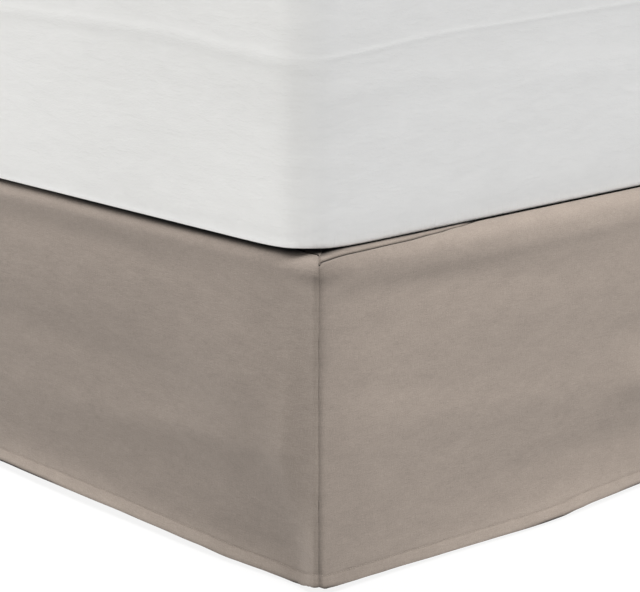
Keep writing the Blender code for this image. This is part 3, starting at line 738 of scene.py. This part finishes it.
# How far those lines rise from their height, along the foot side and the right side.
FOOT_WELT_RISE = smooth_line((0.000, -0.0120), (0.300, 0.0000))
RIGHT_WELT_RISE = smooth_line((0.000, -0.0140), (0.260, 0.0010), (0.600, 0.0090))

# Soft folds of its cover, along the foot side and the right side from their shared corner.
COVER_FOOT_FOLDS = patches(
    (0.300, 0.150, 0.300, 0.030, -1.0, 0.0008), (0.200, 0.012, 0.260, 0.007, 0.0, 0.0009),
    (0.900, 0.120, 0.240, 0.018, 3.0, -0.0014), (1.200, 0.160, 0.200, 0.016, -2.0, 0.0012),
)
COVER_RIGHT_FOLDS = patches(
    (0.030, 0.162, 0.070, 0.011, 5.0, -0.0009), (0.170, 0.174, 0.110, 0.012, 0.0, -0.0012),
    (0.430, 0.156, 0.210, 0.014, -1.5, -0.0013), (0.300, 0.016, 0.300, 0.008, 0.0, 0.0006),
    (1.000, 0.110, 0.260, 0.018, 2.0, -0.0014), (1.500, 0.160, 0.240, 0.016, -2.0, 0.0012),
)
COVER_WAVE = 0.0007
COVER_WAVE_SIZES = (0.21, 0.16)
TOP_WAVE = 0.0012
TOP_WAVE_SIZES = (0.17, 0.23)
TOP_CROWN = 0.004
CROWN_STARTS, CROWN_FULL = 0.05, 0.25          # insets from its sides
CROWN_BEND_X, CROWN_BEND_Y = 2.0, 1.5          # radians a metre
CORNER_LIFT = Bell(0.0046, 0.0, 0.045)         # how far its underside curls up at the foot corners
LIFT_BELOW = 0.02

# How much darker its corner is painted, as painted shade, how much of that the right side and the
# upper part lose, how much lighter its low rim is painted on the right side, as painted light, and
# how dark its underside is painted, as painted shade in the gap under its lower edge.
COVER_CORNER_SHADE = Bell(0.075, 0.0, 0.036)
LOST_ON_RIGHT = 0.9
LOST_HIGH_UP = 0.5
LOST_FROM, LOST_TO = 0.185, 0.215
LOW_RIM_LIGHT = Bell(0.14, 0.0, 0.010)
UNDERSIDE_TONE = 0.22
UNDERSIDE_LIMIT = 0.004    # rings further in and lower than this are its underside


def mattress_rows():
    """The (inset, height) of the mattress's rings, from its underside to its top."""
    low_edge, top_edge = MATTRESS_LOW_EDGE, MATTRESS_TOP_EDGE
    rows = [(inset, 0.0) for inset in UNDERSIDE_INSETS]
    for turn in np.linspace(0, QUARTER_TURN, LOW_EDGE_ROWS):
        rows.append((low_edge * (1 - math.sin(turn)), low_edge * (1 - math.cos(turn))))
    for start, end, step in SIDE_HEIGHTS:
        rows += [(0.0, up) for up in np.arange(start, end, step)]
    for turn in np.linspace(0, QUARTER_TURN, TOP_EDGE_ROWS):
        up = MATTRESS_HEIGHT - top_edge * (1 - math.sin(turn))
        rows.append((top_edge * (1 - math.cos(turn)), up))
    return rows + [(inset, MATTRESS_HEIGHT) for inset in np.arange(*TOP_INSETS)]


def cover_swell(ring, up, to_foot, to_right):
    """How far the cover stands out on its sides: its welts, its folds and its small waves."""
    from_right = np.maximum(MATTRESS_HIGH.x - ring[:, 0], 0.0)
    from_foot = np.maximum(ring[:, 1] - MATTRESS_LOW.y, 0.0)
    rise = read_line(FOOT_WELT_RISE, from_right) * to_foot ** 2
    rise = rise + read_line(RIGHT_WELT_RISE, from_foot) * to_right ** 2
    swell = patch_height(COVER_FOOT_FOLDS, from_right, up) * to_foot
    swell = swell + patch_height(COVER_RIGHT_FOLDS, from_foot, up) * to_right
    for welt in WELTS:
        depth = between(welt.right_depth, welt.foot_depth, to_foot)
        swell = swell + depth * np.exp(-(((up - welt.up - rise) / welt.half_width) ** 2))
    first, second = ring[:, 0] + ring[:, 1], ring[:, 0] - ring[:, 1] + 3 * up
    return swell + COVER_WAVE * wander(first, second, *COVER_WAVE_SIZES, seed=3.1)


def mattress_body():
    rings, tones = [], []
    for inset, up in mattress_rows():
        radius = max(MATTRESS_CORNER - inset, MATTRESS_LEAST_CORNER)
        ring = rounded_ring(
            MATTRESS_HIGH.x - inset, MATTRESS_LOW.y + inset, MATTRESS_HIGH.y - inset,
            radius, radius, MATTRESS_STEPS,
        )
        x, y = ring[:, 0], ring[:, 1]
        to_foot, to_right = np.maximum(-ring[:, 3], 0.0), np.maximum(ring[:, 2], 0.0)
        from_corner = np.hypot(np.abs(x) - MATTRESS_HIGH.x, y - MATTRESS_LOW.y)
        if up > MATTRESS_HEIGHT - 1e-6:
            crown = TOP_CROWN * eased(inset, CROWN_STARTS, CROWN_FULL)
            raised = crown * np.cos(x * CROWN_BEND_X) * np.cos(y * CROWN_BEND_Y)
            raised = raised + TOP_WAVE * wander(x, y, *TOP_WAVE_SIZES, seed=8.2)
        else:
            raised = bell(CORNER_LIFT, from_corner) * (up < LIFT_BELOW)
        out = cover_swell(ring, up, to_foot, to_right) if inset < SIDE_LIMIT else 0.0
        rings.append(np.stack([
            x + ring[:, 2] * out, y + ring[:, 3] * out, MATTRESS_LOW.z + up + raised
        ], 1))
        # Painted shade on its corner, painted light on its low rim on the right side, and its
        # underside painted dark as painted shade.
        shade = bell(COVER_CORNER_SHADE, from_corner) * (1 - LOST_ON_RIGHT * to_right ** 2)
        shade = shade * (1 - LOST_HIGH_UP * eased(up, LOST_FROM, LOST_TO))
        tone = 1 - shade + bell(LOW_RIM_LIGHT, up) * to_right ** 2
        below = inset > UNDERSIDE_LIMIT and up < UNDERSIDE_LIMIT
        tones.append(np.full(len(ring), UNDERSIDE_TONE) if below else tone)
    item = loft("mattress_cover", rings)
    shade_by_tone(item, np.concatenate(tones))
    return item


# ---- the base

BASE_LOW, BASE_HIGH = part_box("base")
BASE_SIDE = 0.013          # its side's inset from the drops' outer faces
BASE_CORNER = 0.070
BASE_HEAD_CORNER = 0.034
BASE_STEPS = Steps(12, 120, 90)
BASE_LOW_EDGE = ((0.006, 0.0), (0.002, 0.002))             # inset from its side, height
BASE_SIDE_FROM, BASE_SIDE_BELOW_BORDER = 0.006, 0.014
BASE_SIDE_ROWS = 12
BORDER_RADIUS = ROLL_RADIUS - CLOTH - 0.0030               # of its border's roll under the cloth
BORDER_TURNS = range(-50, 91, 10)                          # degrees from level, up its section
BORDER_END, TOP_START = 0.016, 0.024                       # insets past the roll


def base_body():
    border_z = TOP_Z - ROLL_RADIUS
    rows = [(BASE_SIDE + inset, BASE_LOW.z + up) for inset, up in BASE_LOW_EDGE]
    for share in np.linspace(0, 1, BASE_SIDE_ROWS):
        low, high = BASE_LOW.z + BASE_SIDE_FROM, border_z - BASE_SIDE_BELOW_BORDER
        rows.append((BASE_SIDE, between(low, high, share)))
    for turn in map(math.radians, BORDER_TURNS):
        inset = ROLL_RADIUS - BORDER_RADIUS * math.cos(turn)
        rows.append((inset, border_z + BORDER_RADIUS * math.sin(turn)))
    rows.append((ROLL_RADIUS + BORDER_END, border_z + BORDER_RADIUS))
    rows.append((ROLL_RADIUS + TOP_START, BASE_HIGH.z))
    rings = []
    for inset, z in rows:
        ring = rounded_ring(
            FACE_X - inset, inset - FACE_Y, HEAD_Y + BORDER_RADIUS - inset,
            BASE_CORNER - inset / 2, BASE_HEAD_CORNER - inset / 2, BASE_STEPS,
        )
        rings.append(np.stack([ring[:, 0], ring[:, 1], np.full(len(ring), z)], 1))
    item = loft("base_cover", rings)
    shade_by_tone(item, np.ones(len(item.data.vertices)))
    return item


# ---- nodes

def add_node(tree, kind, inputs=(), **settings):
    """A node with its settings, and its inputs given as values or as sockets to link from."""
    node = tree.nodes.new(kind)
    for name, value in settings.items():
        setattr(node, name, value)
    for name, value in dict(inputs).items():
        if isinstance(value, bpy.types.NodeSocket):
            tree.links.new(value, node.inputs[name])
        else:
            node.inputs[name].default_value = value
    return node


# ---- stitches, by Geometry Nodes

STITCH_SIZES = {"Pitch": 0.0034, "Stitch length": 0.0024, "Thread width": 0.0005}
STITCH_PLACES = 700        # points on the line that they follow
STITCH_MARGIN = 0.004      # from a slit
STITCH_HEAD_MARGIN = 0.006
STITCH_PROUD = 0.0003      # how far the thread's middle lies outside the cloth


def stitch_tree(name, material):
    tree = bpy.data.node_groups.new(name, "GeometryNodeTree")
    face = tree.interface
    face.new_socket("Line", in_out="INPUT", socket_type="NodeSocketGeometry")
    for label, value in STITCH_SIZES.items():
        socket = face.new_socket(label, in_out="INPUT", socket_type="NodeSocketFloat")
        socket.default_value = value
    face.new_socket("Stitches", in_out="OUTPUT", socket_type="NodeSocketGeometry")
    given = add_node(tree, "NodeGroupInput").outputs
    curve = add_node(tree, "GeometryNodeMeshToCurve", {"Mesh": given["Line"]})
    spaced = add_node(tree, "GeometryNodeResampleCurve", mode="LENGTH", inputs={
        "Curve": curve.outputs["Curve"], "Length": given["Pitch"],
    })
    tangent = add_node(tree, "GeometryNodeInputTangent").outputs["Tangent"]
    turned = add_node(tree, "FunctionNodeAlignRotationToVector", {"Vector": tangent}, axis="X")
    bead = add_node(tree, "GeometryNodeMeshUVSphere", {"Segments": 6, "Rings": 5, "Radius": 0.5})
    size = add_node(tree, "ShaderNodeCombineXYZ", {
        "X": given["Stitch length"], "Y": given["Thread width"], "Z": given["Thread width"],
    })
    copies = add_node(tree, "GeometryNodeInstanceOnPoints", {
        "Points": spaced.outputs["Curve"], "Instance": bead.outputs["Mesh"],
        "Rotation": turned.outputs["Rotation"], "Scale": size.outputs["Vector"],
    }).outputs["Instances"]
    real = add_node(tree, "GeometryNodeRealizeInstances", {"Geometry": copies}).outputs["Geometry"]
    thread = add_node(tree, "GeometryNodeSetMaterial", {"Geometry": real, "Material": material})
    add_node(tree, "NodeGroupOutput", {"Stitches": thread.outputs["Geometry"]})
    return tree


def hem_stitches(name, drop, tree):
    """The stitches of a drop's hem, laid along its stitch line and made a plain mesh."""
    end = drop.length - (STITCH_MARGIN if drop.two_slits else STITCH_HEAD_MARGIN)
    along = np.linspace(STITCH_MARGIN, end, STITCH_PLACES)
    from_slit, _ = nearer_slit(drop, along)
    up = HEM_WIDTH + read_line(drop.hem, along)
    out = patch_height(drop.folds, along, up) * eased(from_slit, 0.0, CALM_REACH) + STITCH_PROUD
    x, y, out_x, out_y = drop.plan(along)
    points = np.stack([x + out_x * out, y + out_y * out, HEM_Z + up], 1)

    mesh = bpy.data.meshes.new(name)
    edges = [(index, index + 1) for index in range(len(points) - 1)]
    mesh.from_pydata(points.tolist(), edges, [])
    guide = placed(name + "_line", mesh)
    made = guide.modifiers.new("Stitches", "NODES")
    made.node_group = tree
    for socket in tree.interface.items_tree:
        if socket.name in STITCH_SIZES:
            made[socket.identifier] = STITCH_SIZES[socket.name]
    stitches = finished_mesh(guide)
    bpy.data.objects.remove(guide)
    bpy.data.meshes.remove(mesh)
    stitches.name = name
    return placed(name, stitches)


# ---- materials

def new_material(name, **values):
    """A material, its node tree and its shader with these values on its own sockets."""
    material = bpy.data.materials.new(name)
    material.use_nodes = True
    shader = material.node_tree.nodes["Principled BSDF"]
    for label, value in values.items():
        shader.inputs[label.replace("_", " ")].default_value = value
    return material, material.node_tree, shader


def noise_pattern(tree, place, scale, detail, distortion=0.0):
    """Noise between 0 and 1, with so many grains a metre in each direction."""
    stretched = add_node(tree, "ShaderNodeMapping", {"Vector": place, "Scale": scale})
    return add_node(tree, "ShaderNodeTexNoise", {
        "Vector": stretched.outputs["Vector"], "Scale": 1.0, "Detail": detail,
        "Distortion": distortion,
    }).outputs["Fac"]


def mix_values(tree, first, second, share):
    return add_node(tree, "ShaderNodeMix", data_type="FLOAT", inputs={
        "Factor": share, "A": first, "B": second,
    }).outputs["Result"]


def two_tone(tree, pattern, dark, light, low=0.34, high=0.66):
    ramp = add_node(tree, "ShaderNodeValToRGB", {"Fac": pattern})
    for stop, position, colour in zip(ramp.color_ramp.elements, (low, high), (dark, light)):
        stop.position = position
        stop.color = (*colour, 1.0)
    return ramp.outputs["Color"]


def link_toned(tree, colour, shader):
    """Base colour from a colour and the lightness kept on the piece's points, which holds painted
    light and shade.
    """
    tone = add_node(tree, "ShaderNodeAttribute", attribute_name="tone").outputs["Fac"]
    shaded = add_node(tree, "ShaderNodeMix", data_type="RGBA", blend_type="MULTIPLY", inputs={
        "Factor": 1.0, "A": colour, "B": tone,
    })
    tree.links.new(shaded.outputs["Result"], shader.inputs["Base Color"])


def bumps(tree, shader, *rows):
    """The shader's normal from (height, distance, strength) rows, each over the one before it."""
    normal = None
    for height, distance, strength in rows:
        inputs = {"Height": height, "Distance": distance, "Strength": strength}
        if normal is not None:
            inputs["Normal"] = normal
        normal = add_node(tree, "ShaderNodeBump", inputs).outputs["Normal"]
    tree.links.new(normal, shader.inputs["Normal"])


def woven_cloth(name, dark, light, thread, roughness, sheen, bump):
    """Plain-woven cloth: threads along its UV map, with slubs both ways and a soft mottle."""
    material, tree, shader = new_material(
        name, Roughness=roughness, Sheen_Weight=sheen, Sheen_Roughness=0.45,
        Specular_IOR_Level=0.25,
    )
    place = add_node(tree, "ShaderNodeUVMap", uv_map="cloth").outputs["UV"]
    across, lengthwise, speckled = 1 / thread, 1 / (thread * 9), 1 / (thread * 1.1)
    weft = noise_pattern(tree, place, (lengthwise, across, 1.0), 2.0)
    warp = noise_pattern(tree, place, (across, lengthwise, 1.0), 2.0)
    speck = noise_pattern(tree, place, (speckled, speckled, 1.0), 3.0)
    mottle = noise_pattern(tree, place, (26.0, 60.0, 1.0), 4.0)
    crumple = noise_pattern(tree, place, (55.0, 150.0, 1.0), 3.0)
    weave = mix_values(tree, mix_values(tree, weft, warp, 0.50), speck, 0.50)
    link_toned(tree, two_tone(tree, mix_values(tree, weave, mottle, 0.16), dark, light), shader)
    bumps(tree, shader, (crumple, 0.0010, 0.6), (weave, thread * 0.5, bump))
    return material


def cover_cloth(name, dark, light, wrinkle_height, gathers_from=None):
    """Smooth cotton cover on Object coordinates, with fine level wrinkles, and gathers that start
    at its lower edge if that height is given."""
    material, tree, shader = new_material(
        name, Roughness=0.82, Sheen_Weight=0.12, Sheen_Roughness=0.5, Specular_IOR_Level=0.25
    )
    place = add_node(tree, "ShaderNodeTexCoord").outputs["Object"]
    wrinkles = noise_pattern(tree, place, (20, 20, 80), 4.0, 0.8)
    creases = noise_pattern(tree, place, (85, 85, 300), 3.0, 0.7)
    fine = noise_pattern(tree, place, (420, 420, 900), 2.0)
    soft = noise_pattern(tree, place, (3, 3, 6), 2.0)
    # Its colour is partly a soft random mottle, partly the wrinkles: painted shade in their hollows
    # and painted light on their crests.
    link_toned(tree, two_tone(tree, mix_values(tree, soft, wrinkles, 0.4), dark, light), shader)
    rows = [
        (wrinkles, wrinkle_height * 0.28, 1.0), (creases, wrinkle_height * 0.21, 1.0),
        (fine, 0.0003, 0.5),
    ]
    if gathers_from is not None:
        upright = noise_pattern(tree, place, (150, 150, 14), 3.0, 0.6)
        parts = add_node(tree, "ShaderNodeSeparateXYZ", {"Vector": place})
        near_edge = add_node(tree, "ShaderNodeMapRange", {
            "Value": parts.outputs["Z"], "From Min": gathers_from,
            "From Max": gathers_from + 0.034, "To Min": 1.0, "To Max": 0.0,
        })
        gathered = add_node(tree, "ShaderNodeMath", operation="MULTIPLY", inputs={
            0: upright, 1: near_edge.outputs["Result"],
        })
        rows.append((gathered.outputs["Value"], 0.0016, 1.0))
    bumps(tree, shader, *rows)
    return material


def hard_finish(name, dark, light, roughness, metallic, grain):
    """Paint, plastic, thread or paper: a fine grain in its colour, roughness and surface."""
    material, tree, shader = new_material(name, Metallic=metallic)
    place = add_node(tree, "ShaderNodeTexCoord").outputs["Object"]
    pattern = add_node(tree, "ShaderNodeTexNoise", {
        "Vector": place, "Scale": grain, "Detail": 4.0,
    }).outputs["Fac"]
    colour = two_tone(tree, pattern, dark, light, 0.0, 1.0)
    tree.links.new(colour, shader.inputs["Base Color"])
    dull = add_node(tree, "ShaderNodeMapRange", {
        "Value": pattern, "To Min": roughness - 0.06, "To Max": roughness + 0.06,
    })
    tree.links.new(dull.outputs["Result"], shader.inputs["Roughness"])
    bumps(tree, shader, (pattern, 0.0003, 0.15))
    return material


def dress(item, material):
    item.data.materials.clear()
    item.data.materials.append(material)


# ---- build the bed

taupe_cloth = woven_cloth(
    "taupe_cloth", (0.244, 0.207, 0.178), (0.372, 0.316, 0.272),
    thread=0.0011, roughness=0.9, sheen=0.10, bump=0.9,
)
white_cover = cover_cloth(
    "white_cover", (0.79, 0.79, 0.78), (0.85, 0.85, 0.84), 0.0020, MATTRESS_LOW.z
)
base_cloth = cover_cloth("base_cover_cloth", (0.50, 0.49, 0.46), (0.60, 0.59, 0.56), 0.0004)
steel = hard_finish(
    "frame_steel", (0.035, 0.035, 0.038), (0.060, 0.060, 0.065),
    roughness=0.5, metallic=0.6, grain=180.0,
)
glide = hard_finish(
    "glide_plastic", (0.020, 0.020, 0.020), (0.035, 0.035, 0.035),
    roughness=0.55, metallic=0.0, grain=260.0,
)
hem_thread = hard_finish(
    "hem_thread", (0.36, 0.31, 0.27), (0.44, 0.38, 0.33),
    roughness=0.8, metallic=0.0, grain=900.0,
)

FOOT_DROP = Drop(
    name="drop_foot_cloth", plan=foot_plan, length=FOOT_LENGTH, two_slits=True,
    folds=FOOT_FOLDS, fades=FOOT_PAINTED_SHADING, hem=FOOT_HEM, hem_shade=FOOT_HEM_SHADE, seam=FOOT_SEAM,
    shade_start=FOOT_SHADE_START, shade_full=FOOT_SHADE_FULL, droop=FOOT_DROOP,
    side_light=Bell(0.13, 0.0, 0.045), plain=0.020,
    columns=drop_columns(FOOT_LENGTH, True, 0.640, 0.0050, 0.0120), seed=1.5,
)
RIGHT_DROP = Drop(
    name="drop_right_cloth", plan=side_plan, length=SIDE_LENGTH, two_slits=False,
    folds=RIGHT_FOLDS, fades=RIGHT_PAINTED_SHADING, hem=SIDE_HEM, hem_shade=SIDE_HEM_SHADE, seam=SIDE_SEAM,
    shade_start=SIDE_SHADE_START, shade_full=SIDE_SHADE_FULL, droop=SIDE_DROOP,
    side_light=Bell(-0.09, 0.0, 0.055), plain=0.090,
    columns=drop_columns(SIDE_LENGTH, False, 0.600, 0.0050, 0.0130), seed=21.5,
)
LEFT_DROP = RIGHT_DROP._replace(
    name="drop_left_cloth", plan=left_plan, folds=LEFT_FOLDS, fades=(), hem=FOOT_HEM,
    seam=LEFT_SEAM, columns=drop_columns(SIDE_LENGTH, False, 0.060, 0.0050, 0.0130), seed=41.5,
)

drop_foot, drop_right, drop_left = map(drop_sheet, (FOOT_DROP, RIGHT_DROP, LEFT_DROP))
deck = deck_sheet(FOOT_DROP, RIGHT_DROP, LEFT_DROP)
insert_right = insert_sheet("corner_insert_right_cloth", 1, 61.5)
insert_left = insert_sheet("corner_insert_left_cloth", -1, 81.5)
mattress = mattress_body()
base = base_body()

for item in (drop_foot, drop_right, drop_left, deck, insert_right, insert_left):
    dress(item, taupe_cloth)
dress(mattress, white_cover)
dress(base, base_cloth)

tree = stitch_tree("hem_stitches", hem_thread)
stitch_foot = hem_stitches("hem_stitches_foot", FOOT_DROP, tree)
stitch_right = hem_stitches("hem_stitches_right", RIGHT_DROP, tree)
stitch_left = hem_stitches("hem_stitches_left", LEFT_DROP, tree)

for name, item in frame["nodes"].items():
    if name.startswith(("rail_", "cross_", "leg_")):
        dress(item, steel)
    elif name.startswith("glide_"):
        dress(item, glide)

# ---- floor, light and camera

WHITE = (1.0, 1.0, 1.0)
FLOOR_SIZE = 14.0
FLOOR_GLOW = 0.86
ROOM_LIGHT = 0.17
FOOT_CORNER = Vector((FACE_X, -FACE_Y, HEM_Z))

bpy.ops.mesh.primitive_plane_add(size=FLOOR_SIZE)
floor = bpy.context.object
floor.name = "floor"
paper = hard_finish(
    "floor_paper", (0.12, 0.12, 0.12), (0.13, 0.13, 0.13), roughness=0.95, metallic=0.0, grain=2.0
)
paper_shader = paper.node_tree.nodes["Principled BSDF"]
paper_shader.inputs["Emission Color"].default_value = (*WHITE, 1.0)
paper_shader.inputs["Emission Strength"].default_value = FLOOR_GLOW
dress(floor, paper)
floor.light_linking.receiver_collection = bpy.data.collections.new("lit_by_floor")

scene = bpy.context.scene
scene.view_settings.view_transform = "Standard"
world = bpy.data.worlds.new("pale_room")
scene.world = world
world.use_nodes = True
world.node_tree.nodes["Background"].inputs["Color"].default_value = (*WHITE, 1.0)
world.node_tree.nodes["Background"].inputs["Strength"].default_value = ROOM_LIGHT

lit_mattress = bpy.data.collections.new("lit_mattress")
lit_mattress.objects.link(mattress)
lit_rest = bpy.data.collections.new("lit_rest")
for item in list(scene.collection.all_objects):
    if item.type == "MESH" and item is not mattress:
        lit_rest.objects.link(item)

# A softbox: what it lights, where it points, the bearing it stands on, clockwise from the foot of
# the bed towards its right side, its height angle, its distance, width, power and colour.
Softbox = namedtuple("Softbox", "name lit aim bearing_deg height_deg distance width power colour")
NEAR_CORNER = FOOT_CORNER + Vector((-0.25, 0.25, 0.30))
BED_MIDDLE = Vector((0.0, 0.0, 0.35))
COOL = (0.985, 0.995, 1.02)
WARM = (1.0, 0.99, 0.96)
ROSY = (1.0, 0.985, 0.975)
SOFTBOXES = (
    Softbox("foot_high", lit_rest, NEAR_CORNER, -50, 56, 2.4, 1.3, 64, ROSY),
    Softbox("right_high", lit_rest, NEAR_CORNER, 102, 56, 3.6, 1.6, 134, ROSY),
    Softbox("cover_foot_side", lit_mattress, NEAR_CORNER, -12, 24, 3.8, 1.8, 44, WARM),
    Softbox("cover_right_side", lit_mattress, NEAR_CORNER, 115, 24, 3.8, 1.8, 35, COOL),
    Softbox("cover_front", lit_mattress, NEAR_CORNER, 50, 45, 3.8, 1.8, 9, WHITE),
    Softbox("back_left", lit_rest, BED_MIDDLE, -130, 45, 4.6, 2.2, 120, WHITE),
    Softbox("cover_back_left", lit_mattress, BED_MIDDLE, -130, 30, 4.6, 2.2, 60, WHITE),
)


def direction(bearing, height):
    """Away from the bed at a bearing from its foot and a height angle, both in radians."""
    level = math.cos(height)
    return Vector((math.sin(bearing) * level, -math.cos(bearing) * level, math.sin(height)))


def point_from(item, aim, away, distance):
    """Stand a light or the camera so far from what it points at."""
    item.location = aim + away * distance
    item.rotation_euler = away.to_track_quat("Z", "Y").to_euler()
    scene.collection.objects.link(item)


for box in SOFTBOXES:
    lamp = bpy.data.lights.new(box.name, "AREA")
    lamp.shape = "SQUARE"
    lamp.size = box.width
    lamp.energy = box.power
    lamp.color = box.colour
    item = bpy.data.objects.new(box.name, lamp)
    item.light_linking.receiver_collection = box.lit
    away = direction(math.radians(box.bearing_deg), math.radians(box.height_deg))
    point_from(item, box.aim, away, box.distance)

PICTURE_WIDTH = 640        # pixels
FOCAL_LENGTH = 2079.8      # pixels
SENSOR = 36.0              # mm
AZIMUTH, ELEVATION = math.radians(47.464), math.radians(14.354)
CAMERA_DISTANCE = 2.1864
AIM_RIGHT, AIM_UP = 0.0016, 0.3372        # what it points at, seen from the foot corner

camera_data = bpy.data.cameras.new("camera")
camera_data.sensor_width = SENSOR
camera_data.lens = FOCAL_LENGTH / PICTURE_WIDTH * SENSOR
camera = bpy.data.objects.new("camera", camera_data)
aim = Vector((AIM_RIGHT * math.cos(AZIMUTH), AIM_RIGHT * math.sin(AZIMUTH), AIM_UP))
point_from(camera, FOOT_CORNER + aim, direction(AZIMUTH, ELEVATION), CAMERA_DISTANCE)
scene.camera = camera

# ---- what rides, and what it replaces

for item, node in (
    (drop_foot, "drop_foot"), (drop_right, "drop_right"), (drop_left, "drop_left"), (deck, "deck"),
    (insert_right, "corner_insert_right"), (insert_left, "corner_insert_left"),
    (mattress, "mattress"), (base, "base"),
):
    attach(item, "root")
    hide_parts(node)
for item in (stitch_foot, stitch_right, stitch_left):
    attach(item, "root")
